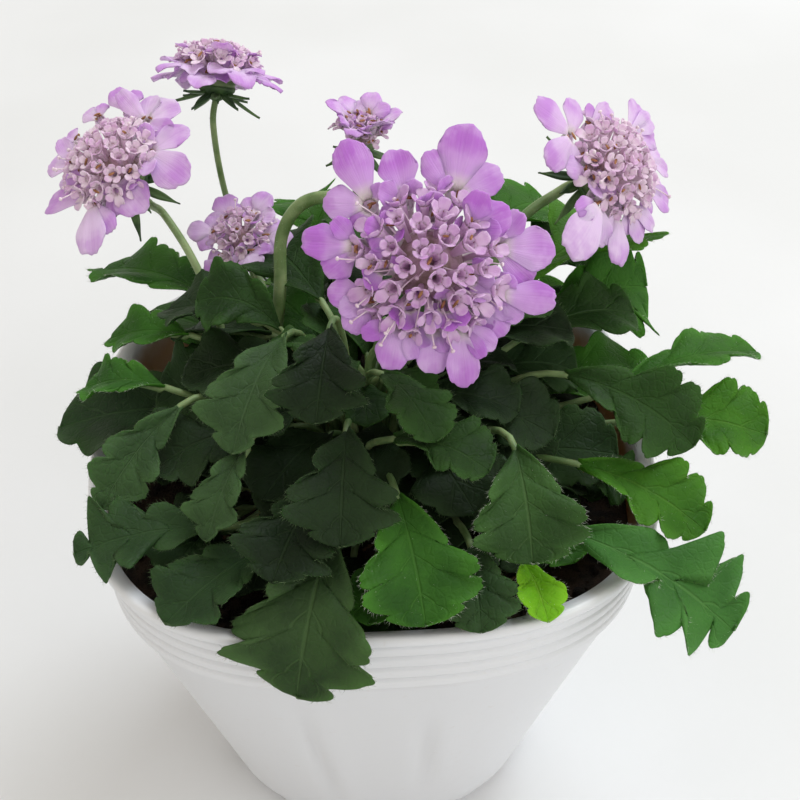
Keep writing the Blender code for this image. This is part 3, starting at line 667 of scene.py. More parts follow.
def build_soil():
    """The bed with its crumbs and fibres."""
    draw = random.Random(SOIL_SEED)
    points, uv = [], []
    for ring in range(SOIL_RINGS + 1):
        for corner in range(SOIL_SIDES):
            angle = math.tau * corner / SOIL_SIDES
            reach = soil_reach(angle, SOIL_TOP) * ring / SOIL_RINGS
            x, y = reach * math.cos(angle), reach * math.sin(angle)
            points.append((x, y, SOIL_TOP + soil_rise(x, y)))
            uv.append((corner / SOIL_SIDES, ring / SOIL_RINGS))
    for height in (SOIL_TOP - 6, SOIL_TOP / 2, BASE_ROUND + 1.5):
        for corner in range(SOIL_SIDES):
            angle = math.tau * corner / SOIL_SIDES
            reach = soil_reach(angle, height)
            points.append(around(reach, angle, height))
            uv.append((corner / SOIL_SIDES, 1.0))
    rows = len(points) // SOIL_SIDES
    faces = [[a, d, c, b] for a, b, c, d in ring_faces(rows, SOIL_SIDES)]
    faces.append([(rows - 1) * SOIL_SIDES + corner for corner in range(SOIL_SIDES)][::-1])
    parts = [Part(np.array(points), faces, np.array(uv), 0.5, soil_dark)]
    for _ in range(CRUMBS):
        angle, share = draw.uniform(0, math.tau), math.sqrt(draw.random())
        reach = share * (soil_reach(angle, SOIL_TOP) - 1.5)
        x, y = reach * math.cos(angle), reach * math.sin(angle)
        size = draw.uniform(*CRUMB_SIZE) ** 1.3
        way = [draw.gauss(0, 1) for _ in range(3)]
        crumb = bead((x, y, SOIL_TOP + soil_rise(x, y) + 0.3 * size),
                     (size, size * draw.uniform(0.6, 1), size * draw.uniform(0.6, 1.1)), way,
                     draw.random(), soil_dark, 4, 6)
        shake = np.array([[draw.uniform(-CRUMB_SHAKE, CRUMB_SHAKE) * size for _ in range(3)]
                          for _ in crumb.points])
        parts.append(crumb._replace(points=crumb.points + shake))
    for _ in range(FIBRES):
        angle, share = draw.uniform(0, math.tau), math.sqrt(draw.random())
        reach = share * (soil_reach(angle, SOIL_TOP) - 5)
        way, bend, length = draw.uniform(0, math.tau), draw.uniform(-0.5, 0.5), draw.uniform(*FIBRE_LONG)
        path = []
        for step in np.linspace(-0.5, 0.5, 6):
            x = reach * math.cos(angle) + length * step * math.cos(way + bend * step)
            y = reach * math.sin(angle) + length * step * math.sin(way + bend * step)
            path.append((x, y, SOIL_TOP + soil_rise(x, y) + FIBRE_LIFT + 0.5 * bend * step))
        wide = draw.uniform(*FIBRE_WIDE)
        parts.append(tube(path, [wide * 0.5] + [wide] * 4 + [wide * 0.4], 5, draw.random(), bark))
    return add_piece("soil_bed", parts, "soil", "soil")


soil = build_soil()
bm = bmesh.new()
bm.from_mesh(soil.data)
middle = [vert for vert in bm.verts if vert.co.xy.length < 0.1 * MM]
bmesh.ops.remove_doubles(bm, verts=middle, dist=0.01 * MM)
bmesh.ops.dissolve_degenerate(bm, edges=bm.edges, dist=0.001 * MM)
bm.to_mesh(soil.data)
bm.free()
print("soil_bed", len(soil.data.polygons), "faces")

# %% [markdown]
# Leaf tissue: a scabious leaf is matte and softly hairy. Its ribs are paler than the blade, the tissue
# between them is puckered, and an old leaf is darker than a young one. The UV map makes the ribs easy: U
# runs across the blade, and V counts its lobes, so a side rib runs out along the middle of every lobe.

# %% The leaf tissue group
tissue, given, out = start_group(
    "leaf_tissue",
    [("Deep", "Color", (0.02, 0.06, 0.02, 1)), ("Bright", "Color", (0.08, 0.2, 0.04, 1)),
     ("Rib", "Color", (0.2, 0.3, 0.12, 1)), ("Patch Scale", "Float", 110.0), ("Rib Share", "Float", 0.5)],
    [("Colour", "Color"), ("Height", "Float"), ("Roughness", "Float")])
uv_place = tissue.nodes.new("ShaderNodeTexCoord").outputs["UV"]
split = tissue.nodes.new("ShaderNodeSeparateXYZ")
tissue.links.new(uv_place, split.inputs[0])
off_middle = maths(tissue, "ABSOLUTE", maths(tissue, "SUBTRACT", split.outputs["X"], 0.5))
across = maths(tissue, "MULTIPLY", off_middle, 2.0)
in_lobe = maths(tissue, "FRACT", split.outputs["Y"])
lobe_off = maths(tissue, "ABSOLUTE", maths(tissue, "SUBTRACT", in_lobe, 0.5))
mid_rib = ramp(tissue, across, 0.012, 0.05, 1.0, 0.0)
side_rib = maths(tissue, "MULTIPLY", ramp(tissue, lobe_off, 0.012, 0.05, 1.0, 0.0),
                 ramp(tissue, across, 0.55, 0.95, 1.0, 0.0))
cells = tissue.nodes.new("ShaderNodeTexVoronoi")
cells.feature = "DISTANCE_TO_EDGE"
cells.inputs["Scale"].default_value = 620.0
tissue.links.new(tissue.nodes.new("ShaderNodeTexCoord").outputs["Object"], cells.inputs["Vector"])
net = ramp(tissue, cells.outputs["Distance"], 0.0, 0.16, 1.0, 0.0)
ribs = maths(tissue, "MAXIMUM", mid_rib, maths(tissue, "MULTIPLY", side_rib, 0.75))
veins = maths(tissue, "MAXIMUM", ribs, maths(tissue, "MULTIPLY", net, 0.10))
patch = ramp(tissue, grain(tissue, given["Patch Scale"], 4.0), 0.3, 0.7)
# Lighter towards the blade's edges: a painted sheen, where the edge hairs catch the light.
painted_edge_sheen = ramp(tissue, across, 0.5, 1.0, 0.0, 0.45)
lightness = maths(tissue, "ADD", maths(tissue, "MULTIPLY", patch, 0.45), painted_edge_sheen)
lightness = maths(tissue, "ADD", lightness, maths(tissue, "MULTIPLY", tone_of(tissue), 0.35))
blade_colour = mixed(tissue, maths(tissue, "MINIMUM", lightness, 1.0), given["Deep"], given["Bright"])
fleck = ramp(tissue, grain(tissue, 4200.0, 1.0), 0.6, 0.78, 0.0, 0.12)
blade_colour = mixed(tissue, fleck, blade_colour, given["Rib"])
vein_share = maths(tissue, "MULTIPLY", veins, given["Rib Share"])
plug(tissue, out["Colour"], mixed(tissue, vein_share, blade_colour, given["Rib"]))
pores = maths(tissue, "MULTIPLY", grain(tissue, 2400.0, 2.0), 0.35)
sunk = maths(tissue, "MAXIMUM", ribs, maths(tissue, "MULTIPLY", net, 0.22))
plug(tissue, out["Height"], maths(tissue, "SUBTRACT", pores, sunk))
plug(tissue, out["Roughness"], ramp(tissue, patch, 0.0, 1.0, 0.48, 0.66))

# %% The leaf finishes
# Each tone: the colour deep in the blade, the bright colour, the rib colour and how much the ribs show
# Deep, inner and shady are darker copies of the leaf colours for leaves that stand in shade: painted shade.
LEAF_TONES = {
    "deep": ((18, 32, 16), (40, 59, 33), (54, 73, 45), 0.25),
    "inner": ((23, 44, 18), (48, 79, 33), (62, 93, 46), 0.3),
    "shady": ((27, 47, 26), (52, 77, 43), (64, 91, 54), 0.32),
    "fresh": ((32, 70, 20), (66, 118, 38), (88, 138, 60), 0.20),
    "bright": ((38, 82, 14), (74, 126, 34), (100, 146, 60), 0.22),
    "grey": ((36, 56, 32), (66, 94, 55), (82, 108, 72), 0.35),
    "rim": ((34, 52, 30), (72, 100, 57), (84, 112, 68), 0.32),
    "soft": ((36, 62, 28), (64, 98, 48), (94, 122, 76), 0.25),
    "young": ((84, 142, 12), (120, 180, 34), (150, 200, 70), 0.3),
    "feather": ((38, 80, 30), (70, 120, 54), (96, 142, 76), 0.32),
}
leaf_paints = {}
for tone_name, (deep, bright, rib, rib_share) in LEAF_TONES.items():
    paint = make_material(
        "leaf_" + tone_name, tissue, {"Deep": shade(*deep), "Bright": shade(*bright), "Rib": shade(*rib),
                                      "Rib Share": rib_share},
        0.55, 0.65, 0.0004, Specular_IOR_Level=0.12,
        Subsurface_Weight=0.12, Subsurface_Scale=0.0015, Subsurface_Radius=(0.5, 1.0, 0.2))
    group_node = next(node for node in paint.node_tree.nodes if node.type == "GROUP")
    paint.node_tree.links.new(group_node.outputs["Roughness"],
                              paint.node_tree.nodes["Principled BSDF"].inputs["Roughness"])
    leaf_paints[tone_name] = paint
stalk_green = speckled("stalk_green", (84, 112, 62), (132, 156, 104), 160.0, 0.5, 0.3, 0.0001,
                       grain_scale=3200.0, grain_share=0.4, Subsurface_Weight=0.1, Subsurface_Scale=0.001)
# Darkened hair for the dark leaves: painted shade.
hair_dim = speckled("hair_dim", (70, 96, 58), (118, 142, 100), 500.0, 0.5)
hair_white = speckled("hair_white", (176, 190, 166), (226, 232, 218), 500.0, 0.5)
print("leaf finishes:", ", ".join(leaf_paints))

# %% [markdown]
# Where each leaf stands. The part's source gives every leaf a stalk, a blade and a kind, and nudges it
# until it is clear of its neighbours. Its rules are repeated here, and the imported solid's box tells which
# nudge was used: the coarse leaf is made for one nudge after another until its box fits the node's.

# %% The leaf plan
Kind = namedtuple("Kind", "lobes cut sweep blunt broad")
KINDS = {
    "scalloped": Kind(4, 0.20, 0.45, 2.4, 0.56),
    "lobed": Kind(4, 0.40, 0.80, 1.9, 0.66),
    "young": Kind(3, 0.26, 0.55, 2.2, 0.60),
    "feather": Kind(4, 0.78, 1.10, 1.2, 0.52),
}
Leaf = namedtuple("Leaf", "name kind neck tip width roll bow")
SHOWN_LEAVES = (
    Leaf("front", "scalloped", (3, -32, 12), (6, -53, 4), 21, -4, 2.5),
    Leaf("front_right", "scalloped", (22, -27, 16), (22, -45, 7), 20, 6, 2.5),
    Leaf("over_rim", "lobed", (-8, -35, 8), (-15, -57, -7), 27, 4, 4.0),
    Leaf("feather_right", "feather", (33, -35, 4), (57, -52, -3), 26, 4, 3.0),
    Leaf("right_low", "lobed", (36, -20, 6), (56, -34, 2), 18, 4, 2.5),
    Leaf("right_big", "lobed", (29, 14, 21), (55, 33, 19), 27, -8, 3.5),
    Leaf("right_far", "scalloped", (48, -2, 9), (74, 4, 10), 15, -14, 3.0),
    Leaf("right_bright", "scalloped", (50, -9, 6), (71, -16, 7), 19, 8, 2.0),
    Leaf("right_folded", "lobed", (35, -7, 13), (56, -21, 7), 18, 26, 3.0),
    Leaf("rim_front_left", "scalloped", (-17, -34, 3), (-33, -50, 2), 18, 10, 2.0),
    Leaf("rim_left", "feather", (-25, -31, 3), (-48, -38, 3), 18, -8, 2.0),
    Leaf("narrow", "lobed", (-22, -20, 15), (-29, -36, 8), 13, 24, 2.0),
    Leaf("folded_left", "lobed", (-33, -12, 14), (-45, -29, 5), 12, -38, 2.0),
    Leaf("left", "scalloped", (-37, -5, 14), (-52, -3, 12), 14, 6, 2.0),
    Leaf("middle_low", "scalloped", (3, -23, 17), (18, -32, 17), 16, -6, 2.5),
    Leaf("middle_high", "scalloped", (1, -13, 23), (8, -29, 21), 14, -16, 2.5),
    Leaf("grey", "lobed", (-15, -2, 23), (-23, -25, 16), 18, 10, 3.5),
    Leaf("middle_top", "lobed", (-7, -7, 26), (-10, -25, 20), 18, 4, 2.0),
    Leaf("dark_front", "lobed", (-5, -22, 14), (-7, -43, 8), 20, -5, 3.0),
    Leaf("rim_young", "young", (24, -38, 1), (26, -52, 2), 9, -8, 1.5),
    Leaf("rim_dark", "scalloped", (15, -37, 6), (15, -53, 3), 14, 6, 2.0),
    Leaf("dark_left", "lobed", (-17, -25, 8), (-28, -41, 7), 18, -10, 2.0),
    Leaf("left_back", "young", (-34, 6, 16), (-50, 9, 12), 13, -4, 1.5),
    Leaf("back_left", "scalloped", (-29, 25, 12), (-53, 40, 10), 20, 8, 3.0),
    Leaf("deep_left", "young", (-20, -9, 8), (-39, -16, 6), 19, -6, 2.5),
    Leaf("deep_back", "young", (-19, 7, 14), (-37, 13, 13), 18, 4, 2.5),
    Leaf("right_under", "young", (31, 8, 14), (52, 14, 13), 18, 6, 2.5),
    Leaf("back_right", "lobed", (22, 32, 18), (40, 50, 16), 20, 6, 3.0),
    Leaf("back_middle", "lobed", (-7, 36, 16), (-13, 57, 14), 18, -6, 3.0),
)
Ring = namedtuple("Ring", "name kind count first step start_radius end_radius start_high end_high width")
LEAF_RINGS = (
    Ring("skirt", "young", 6, 8, 34, 27, 58, 4, 1, 23),
    Ring("nape", "young", 5, 12, 37, 13, 37, 11, 12, 20),
    Ring("middle", "young", 4, -130, 44, 15, 35, 4, 5, 17),
    Ring("crown", "young", 2, -8, 72, 6, 23, 20, 21, 16),
)
LIFTS = (0, 1.5, -1.5, 3, -3, 4.5, 6)
SWINGS = (0, 3, -3, 6, -6, 9, -9, 13, -13, 18, -18, 24, -24)
SIZES = (1.0, 0.85, 0.7)
RING_SEED = 11
RING_TURN = 6.0
RING_STRETCH = 2.0
RING_ROLL = 10
RING_BOW = 2.5
COARSE_BLADE = 0.7
COARSE_FOLD = 0.16
STALK_HALF = 0.9
HOLE_DEPTH = 6.0
SEAT = 0.3
ROOT_SPACING = 3.5
ROOT_SHARE = 0.45
ROOT_RINGS = 40
ROOT_STEP = 0.7
ROOT_TURN = 0.09
BOX_MATCH = 0.02
# The fine outline: how deep a lobe is cut, the two powers of its arch, its teeth and their depth
Lobing = namedtuple("Lobing", "cut rise round teeth bite")
LOBING = {
    "scalloped": Lobing(0.27, 2.5, 0.62, 3, 0.055),
    "lobed": Lobing(0.40, 2.2, 0.66, 3, 0.055),
    "young": Lobing(0.26, 2.4, 0.62, 2, 0.040),
    "feather": Lobing(0.74, 1.8, 0.80, 3, 0.055),
}
# A blade ends on half a lobe, is widest beyond its middle, and its side ribs slant towards the tip
END_LOBE = 0.5
WIDE_OUT = 1.40
RIB_SLANT = 0.75
ROUND_TIP = 0.88
UNEVEN = 0.22
FINE_FOLD = 0.22
LEAN = {"scalloped": 0.80, "lobed": 0.85, "young": 0.70, "feather": 1.00}

# %% The flower plan
Flower = namedtuple("Flower", "place facing width outer second cups opening stem_radius route")
FLOWERS = {
    "1": Flower((9, -11, 43), (0.04, -0.72, 0.69), 43, 9, 7, 11, 1.0, 1.2,
                ((-17, 9, -12), (-18, 11, 6), (-16, 15, 21), (-15, 21, 30), (-10, 21, 37), (-2, 14, 40))),
    "2": Flower((-44, 32, 36), (-0.42, -0.30, 0.86), 34, 8, 5, 7, 1.05, 0.9,
                ((-21, 2, -12), (-25, 9, 6), (-31, 20, 22), (-37, 28, 30))),
    "3": Flower((-27, 53, 44), (0.15, 0.48, 0.86), 28, 8, 5, 7, 1.12, 0.9,
                ((-15, 29, -12), (-22, 41, 5), (-27, 48, 22), (-28, 51, 36))),
    "4": Flower((43, 22, 39), (0.64, -0.46, 0.62), 34, 8, 5, 7, 1.0, 1.0,
                ((13, 6, -12), (19, 12, 12), (28, 20, 29), (36, 25, 33))),
    "5": Flower((1, 49, 32), (0.10, 0.05, 1.0), 19, 6, 0, 6, 0.5, 0.8,
                ((-2, 24, -12), (-2, 38, 8), (0, 47, 23))),
    "6": Flower((-23, 31, 21), (-0.15, -0.40, 0.90), 21, 6, 0, 7, 0.7, 0.8,
                ((-12, 14, -12), (-16, 22, 4), (-21, 31, 14))),
}
print(len(SHOWN_LEAVES), "shown leaves and", len(FLOWERS), "flowers")

# %% The leaf rules


def find_root(neck, taken):
    """A free spot in the soil on the neck's side of the crown, clear of the roots before it."""
    angle = math.atan2(neck[1], neck[0])
    radius = ROOT_SHARE * math.hypot(neck[0], neck[1])
    for ring in range(ROOT_RINGS):
        for turn in (0, 1, -1, 2, -2, 3, -3):
            for step in (0, 1, -1):
                reach = max(radius + step * ROOT_STEP * ring, 1.0)
                way = angle + turn * ROOT_TURN * (ring + 1) ** 0.5
                spot = (reach * math.cos(way), reach * math.sin(way))
                if all(math.dist(spot, other) > ROOT_SPACING for other in taken):
                    taken.append(spot)
                    return spot
    raise RuntimeError("no room left in the soil")


def bezier(points, t):
    """The point at t of the curve that the points steer."""
    while len(points) > 1:
        points = [a.lerp(b, t) for a, b in zip(points, points[1:])]
    return points[0]


def nudged(leaf, lift, swing, size):
    """The same leaf lifted, swung about the pot's axis, and grown smaller."""
    turn = Matrix.Rotation(math.radians(swing), 3, "Z")
    neck = turn @ Vector(leaf.neck) + Vector((0, 0, lift))
    tip = turn @ Vector(leaf.tip) + Vector((0, 0, lift))
    return leaf._replace(neck=tuple(neck), tip=tuple(neck.lerp(tip, size)), width=leaf.width * size)


def blade_lines(leaf):
    """The blade's middle curve and the direction its face looks."""
    lift = Vector((0, 0, POT_HEIGHT))
    neck, tip = Vector(leaf.neck) + lift, Vector(leaf.tip) + lift
    along = (tip - neck).normalized()
    face = (Vector((0, 0, 1)) - along * along.z).normalized()
    middle = (neck + tip) / 2 + face * leaf.bow * 2
    face.rotate(Matrix.Rotation(math.radians(leaf.roll), 3, along))
    return [neck, middle, tip], face


def stalk_curve(leaf, root):
    """The stalk's line: up out of the soil, then over into the blade."""
    blade, _ = blade_lines(leaf)
    foot = Vector((root[0], root[1], SOIL_TOP))
    reach = (blade[0] - foot).length
    heading = (blade[1] - blade[0]).normalized()
    return [foot, foot + Vector((0, 0, 0.5 * reach)), blade[0] - heading * 0.35 * reach, blade[0]]


def half_width(leaf, t):
    """Half the coarse blade's width at t along it, with its lobes cut in."""
    kind = KINDS[leaf.kind]
    plain = math.sin(math.pi * min(max(t, 0.0), 1.0) ** 1.25) ** kind.broad
    notch = abs(2 * ((t * kind.lobes) % 1.0) - 1) ** kind.blunt
    fade = smooth_step(0.05, 0.25, t)
    return max(leaf.width / 2 * plain * (1 - kind.cut * notch * fade), 0.45)


def fine_half_width(leaf, t, side):
    """Half the fine blade's width: the same lobes, but round, uneven, each with small teeth of its own."""
    kind, lobing = KINDS[leaf.kind], LOBING[leaf.kind]
    plain = math.sin(math.pi * min(max(t, 0.0), 1.0) ** WIDE_OUT) ** (kind.broad * ROUND_TIP)
    phase = (t * (kind.lobes - END_LOBE)) % 1.0
    arch = (1 - abs(2 * phase - 1) ** lobing.rise) ** lobing.round
    tooth = abs(math.sin(lobing.teeth * math.pi * phase)) ** 0.7
    uneven = 1 + UNEVEN * math.sin(9.0 * t + 2.4 * side + leaf.neck[0])
    fade = smooth_step(0.03, 0.20, t)
    cut = lobing.cut * uneven * (1 - arch) + lobing.bite * (1 - tooth)
    return max(leaf.width / 2 * plain * (1 - cut * fade), 0.45 * (1 - t) + 0.06)


def blade_point(leaf, curve, face, t, across, fine=False, relief=0.0):
    """A point of the blade: t along its rib, across from -1 to 1."""
    kind = KINDS[leaf.kind]
    half = fine_half_width(leaf, t, 1 if across > 0 else -1) if fine else half_width(leaf, t)
    lean = kind.sweep * half
    if fine:
        lean = LEAN[leaf.kind] * leaf.width / 2 * math.sin(math.pi * t ** 1.25) ** kind.broad
    length = (curve[2] - curve[0]).length
    swept = min(t + lean / length * (1 - t) * abs(across), 1.0)
    place = bezier(curve, swept)
    along = (bezier(curve, min(swept + 0.01, 1.0)) - bezier(curve, swept - 0.01)).normalized()
    up = (face - along * face.dot(along)).normalized()
    side = up.cross(along)
    wave = 0.05 * leaf.width * math.sin(4.4 * math.pi * t + 1.3 * across) * across * across
    fold = FINE_FOLD if fine else COARSE_FOLD
    return place + side * across * half + up * (fold * abs(across) * half + wave + relief)


def leaf_rows(leaf):
    """Where the coarse blade has its rows of points."""
    lobes = KINDS[leaf.kind].lobes
    phases = (0.0, 0.5) if leaf.kind == "young" else (0.0, 0.3, 0.7)
    rows = [(lobe + phase) / lobes for lobe in range(lobes) for phase in phases]
    return rows[1:] + [0.985]


def coarse_box(leaf, root):
    """The box of the source's coarse leaf: a strap of a stalk that widens into the blade, made thick."""
    curve, face = blade_lines(leaf)
    stalk = stalk_curve(leaf, root)
    bm = bmesh.new()
    strip = []
    foot = stalk[0] - Vector((0, 0, HOLE_DEPTH - SEAT))
    outward = Vector((stalk[3].x - foot.x, stalk[3].y - foot.y, 0)).normalized()
    blade_side = blade_point(leaf, curve, face, 0.0, 1) - blade_point(leaf, curve, face, 0.0, -1)
    side_low = Vector((0, 0, 1)).cross(outward)
    if side_low.dot(blade_side) < 0:
        side_low = -side_low
    for t in (None, 0.0, 0.35, 0.7, 1.0):
        spot = foot if t is None else bezier(stalk, t)
        side = side_low.lerp(blade_side.normalized(), t or 0.0).normalized()
        strip.append([bm.verts.new(spot - side * STALK_HALF), bm.verts.new(spot + side * STALK_HALF)])
    for low, high in zip(strip, strip[1:]):
        bm.faces.new((low[0], high[0], high[1]))
        bm.faces.new((low[0], high[1], low[1]))
    last = [strip[-1][0], None, strip[-1][1]]
    for t in leaf_rows(leaf):
        row = [bm.verts.new(blade_point(leaf, curve, face, t, across)) for across in (-1, 0, 1)]
        bm.faces.new((last[0], row[0], row[1]))
        if last[1] is None:
            bm.faces.new((last[0], row[1], last[2]))
            bm.faces.new((last[2], row[1], row[2]))
        else:
            bm.faces.new((last[0], row[1], last[1]))
            bm.faces.new((last[1], row[1], row[2]))
            bm.faces.new((last[1], row[2], last[2]))
        last = row
    bm.normal_update()
    for vert, normal in [(vert, vert.normal.copy()) for vert in bm.verts]:
        vert.co += normal * (COARSE_BLADE / 2)
    bmesh.ops.solidify(bm, geom=bm.faces[:], thickness=COARSE_BLADE)
    low = [min(vert.co[axis] for vert in bm.verts) for axis in range(3)]
    high = [max(vert.co[axis] for vert in bm.verts) for axis in range(3)]
    bm.free()
    return low + high


def leaf_plan():
    """Every leaf: the shown ones, then the rings."""
    plan = list(SHOWN_LEAVES)
    draw = random.Random(RING_SEED)
    for ring in LEAF_RINGS:
        for number in range(ring.count):
            way = math.radians(ring.first + ring.step * number + draw.uniform(-RING_TURN, RING_TURN))
            ends = []
            for radius, high in ((ring.start_radius, ring.start_high), (ring.end_radius, ring.end_high)):
                reach = radius + draw.uniform(-RING_STRETCH, RING_STRETCH)
                ends.append(around(reach, way, high + draw.uniform(-1, 1)))
            roll = draw.uniform(-RING_ROLL, RING_ROLL)
            name = f"{ring.name}_{number + 1}"
            plan.append(Leaf(name, ring.kind, ends[0], ends[1], ring.width, roll, RING_BOW))
    return plan


def settle_steps():
    """Lifts, swings and sizes to try, the smallest change first."""
    steps = [(lift, swing, size) for lift in LIFTS for swing in SWINGS for size in SIZES]
    return sorted(steps, key=lambda step: abs(step[0]) + abs(step[1]) / 2 + 30 * (1 - step[2]))


def settled_leaves():
    """Each leaf as it was nudged in the source, with its root."""
    taken = [flower.route[0][:2] for flower in FLOWERS.values()]
    plan = leaf_plan()
    roots = [find_root(leaf.neck, taken) for leaf in plan]
    steps = settle_steps()
    leaves = []
    for leaf, root in zip(plan, roots):
        low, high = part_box("leaf_" + leaf.name)
        wanted = [value / MM for value in (*low, *high)]
        best, best_gap = None, 1e9
        for step in steps:
            trial = nudged(leaf, *step)
            gap = max(abs(a - b) for a, b in zip(coarse_box(trial, root), wanted))
            if gap < best_gap:
                best, best_gap = trial, gap
            if gap < BOX_MATCH:
                break
        if best_gap > BOX_MATCH:
            print("leaf", leaf.name, "fits its box only within", round(best_gap, 2), "mm")
        leaves.append((best, root))
    return leaves


leaves = settled_leaves()
print(len(leaves), "leaves found at their places")

# %% [markdown]
# A fine leaf. The blade is a grid of points on the same curve as the coarse one, with more rows, so that
# each lobe gets small rounded teeth. The blade is folded a little at its midrib, sunk along the side
# ribs and puckered between them, all as real relief. The stalk is a tube that runs on under the blade as
# the midrib. Hairs fringe the edge. On the dark leaves they are darkened, as painted shade, and on the
# others they are white; these have shorter hairs on the blade too.

# %% Fine leaves
# How fine a leaf is made: rows and columns of its blade, the gap between edge hairs, hairs on the blade
Detail = namedtuple("Detail", "rows cols gap down")
SHOWN_DETAIL = Detail(66, 15, 0.34, 40)
BACK_DETAIL = Detail(42, 11, 0.34, 40)
BLADE_THICK = 0.42
RIB_SINK = 0.22
RIB_HALF = 0.07
PUCKER = 0.30
STALK_ROWS = 11
STALK_RADIUS = 0.8
NECK_RADIUS = 0.62
MIDRIB_ROWS = 10
FRINGE_LONG = 0.85
FRINGE_RADIUS = 0.027
DOWN_LONG = 0.4
DOWN_RADIUS = 0.016
# The hairs of leaves in these tones are darkened: painted shade.
PAINTED_SHADE_HAIR_TONES = ("deep", "inner", "shady", "rim", "grey")

# The leaves of each tone; all the others are deep. Deep, inner and shady are painted shade
TONED = {
    "fresh": "front left left_back back_left right_far back_right back_middle "
             "skirt_1 skirt_3 skirt_5 nape_2 nape_4",
    "bright": "right_big right_bright right_low skirt_2 skirt_4",
    "inner": "middle_low middle_high right_under right_folded crown_1",
    "shady": "rim_left rim_front_left rim_dark skirt_6",
    "grey": "narrow folded_left grey",
    "soft": "front_right",
    "rim": "over_rim",
    "feather": "feather_right",
    "young": "rim_young",
}
LEAF_TONE_OF = {name: tone_name for tone_name, names in TONED.items() for name in names.split()}


def relief_at(kind, t, across):
    """How far the blade's face rises or sinks at a point, for its ribs and the puckers between them."""
    phase = (t * (kind.lobes - END_LOBE) + RIB_SLANT * (1 - abs(across))) % 1.0
    inner = min(abs(across) * 5, 1.0) * (1 - across ** 4)
    rib = math.exp(-((phase - 0.5) / RIB_HALF) ** 2)
    middle = math.exp(-(across / RIB_HALF) ** 2)
    swell = abs(math.sin(math.pi * (phase + 0.5))) ** 0.8
    fine = math.sin(9 * math.pi * abs(across) + 2.0 * phase)
    return PUCKER * inner * (swell - 0.5 + 0.25 * fine) - RIB_SINK * (rib * inner + middle)


def blade_grid(leaf, curve, face, rows, cols):
    """The fine blade's points, closer together towards its edges."""
    kind = KINDS[leaf.kind]
    grid = np.empty((rows, cols, 3))
    for row in range(rows):
        t = row / (rows - 1)
        for col in range(cols):
            across = math.sin(math.pi / 2 * (2 * col / (cols - 1) - 1))
            relief = relief_at(kind, t, across) * min(t * 6, 1.0, (1 - t) * 8)
            grid[row, col] = blade_point(leaf, curve, face, t, across, True, relief)
    return grid


def edge_hairs(grid, draw, gap):
    """Roots and ways of the fringe round the blade's edge."""
    rows, cols = grid.shape[:2]
    loop = [(row, 0) for row in range(4, rows)] + [(rows - 1, col) for col in range(1, cols - 1)]
    loop += [(row, cols - 1) for row in range(rows - 1, 3, -1)]
    roots, ways = [], []
    for (row_a, col_a), (row_b, col_b) in zip(loop, loop[1:]):
        a, b = grid[row_a, col_a], grid[row_b, col_b]
        inner = grid[max(row_a - 1, 0), min(max(col_a, 2), cols - 3)]
        count = np.linalg.norm(b - a) / gap
        for _ in range(int(count) + (draw.random() < count % 1.0)):
            root = a + (b - a) * draw.random()
            way = (root - inner) / (np.linalg.norm(root - inner) + 1e-9)
            ways.append(way + np.array([draw.gauss(0, 0.35) for _ in range(3)]) + np.array((0, 0, 0.15)))
            roots.append(root)
    return roots, ways


def down_hairs(grid, face, draw, count):
    """Roots and ways of the short hairs on the blade."""
    rows, cols = grid.shape[:2]
    roots, ways = [], []
    for _ in range(count):
        row, col = draw.randrange(3, rows - 1), draw.randrange(1, cols - 1)
        root = grid[row, col] + (grid[row - 1, col - 1] - grid[row, col]) * draw.random()
        roots.append(root + np.array(face) * BLADE_THICK / 2)
        ways.append(np.array(face) + np.array([draw.gauss(0, 0.45) for _ in range(3)]))
    return roots, ways


def leaf_parts(leaf, root, tone_name, draw, detail):
    """A fine leaf: the blade, the stalk that runs on as its midrib, and the hairs."""
    rows, cols, gap, down = detail
    curve, face = blade_lines(leaf)
    stalk = stalk_curve(leaf, root)
    grid = blade_grid(leaf, curve, face, rows, cols)
    across = np.sin(np.pi / 2 * np.linspace(-1, 1, cols))
    along = np.linspace(0, 1, rows)
    uv = np.empty((rows, cols, 2))
    uv[..., 0] = (across * 0.5 + 0.5)[None, :]
    slant = RIB_SLANT * (1 - np.abs(across))
    uv[..., 1] = (along * (KINDS[leaf.kind].lobes - END_LOBE))[:, None] + slant[None, :]
    thin = BLADE_THICK * (0.4 + 0.6 * (1 - across ** 6))
    paint = leaf_paints[tone_name]
    tone = draw.random()
    parts = [sheet(grid, np.broadcast_to(thin[None, :], (rows, cols)), uv, tone, paint)]
    foot = stalk[0] - Vector((0, 0, HOLE_DEPTH - SEAT))
    path = [foot] + [bezier(stalk, t) for t in np.linspace(0, 1, STALK_ROWS)]
    radii = [STALK_RADIUS] + list(np.linspace(STALK_RADIUS, NECK_RADIUS, STALK_ROWS))
    for t in np.linspace(0.06, 0.92, MIDRIB_ROWS):
        radius = 0.60 * (1 - t) ** 0.8 + 0.10
        path.append(blade_point(leaf, curve, face, t, 0.0, True) - face * (radius + RIB_SINK))
        radii.append(radius)
    parts.append(tube(path, radii, 7, tone, stalk_green))
    roots, ways = edge_hairs(grid, draw, gap)
    lengths = [FRINGE_LONG * draw.uniform(0.5, 1.25) for _ in roots]
    hair = hair_dim if tone_name in PAINTED_SHADE_HAIR_TONES else hair_white
    parts.append(hairs(roots, ways, lengths, FRINGE_RADIUS, tone, hair))
    if down and hair is hair_white:
        roots, ways = down_hairs(grid, face, draw, down)
        lengths = [DOWN_LONG * draw.uniform(0.5, 1.3) for _ in roots]
        parts.append(hairs(roots, ways, lengths, DOWN_RADIUS, tone, hair_white))
    return parts


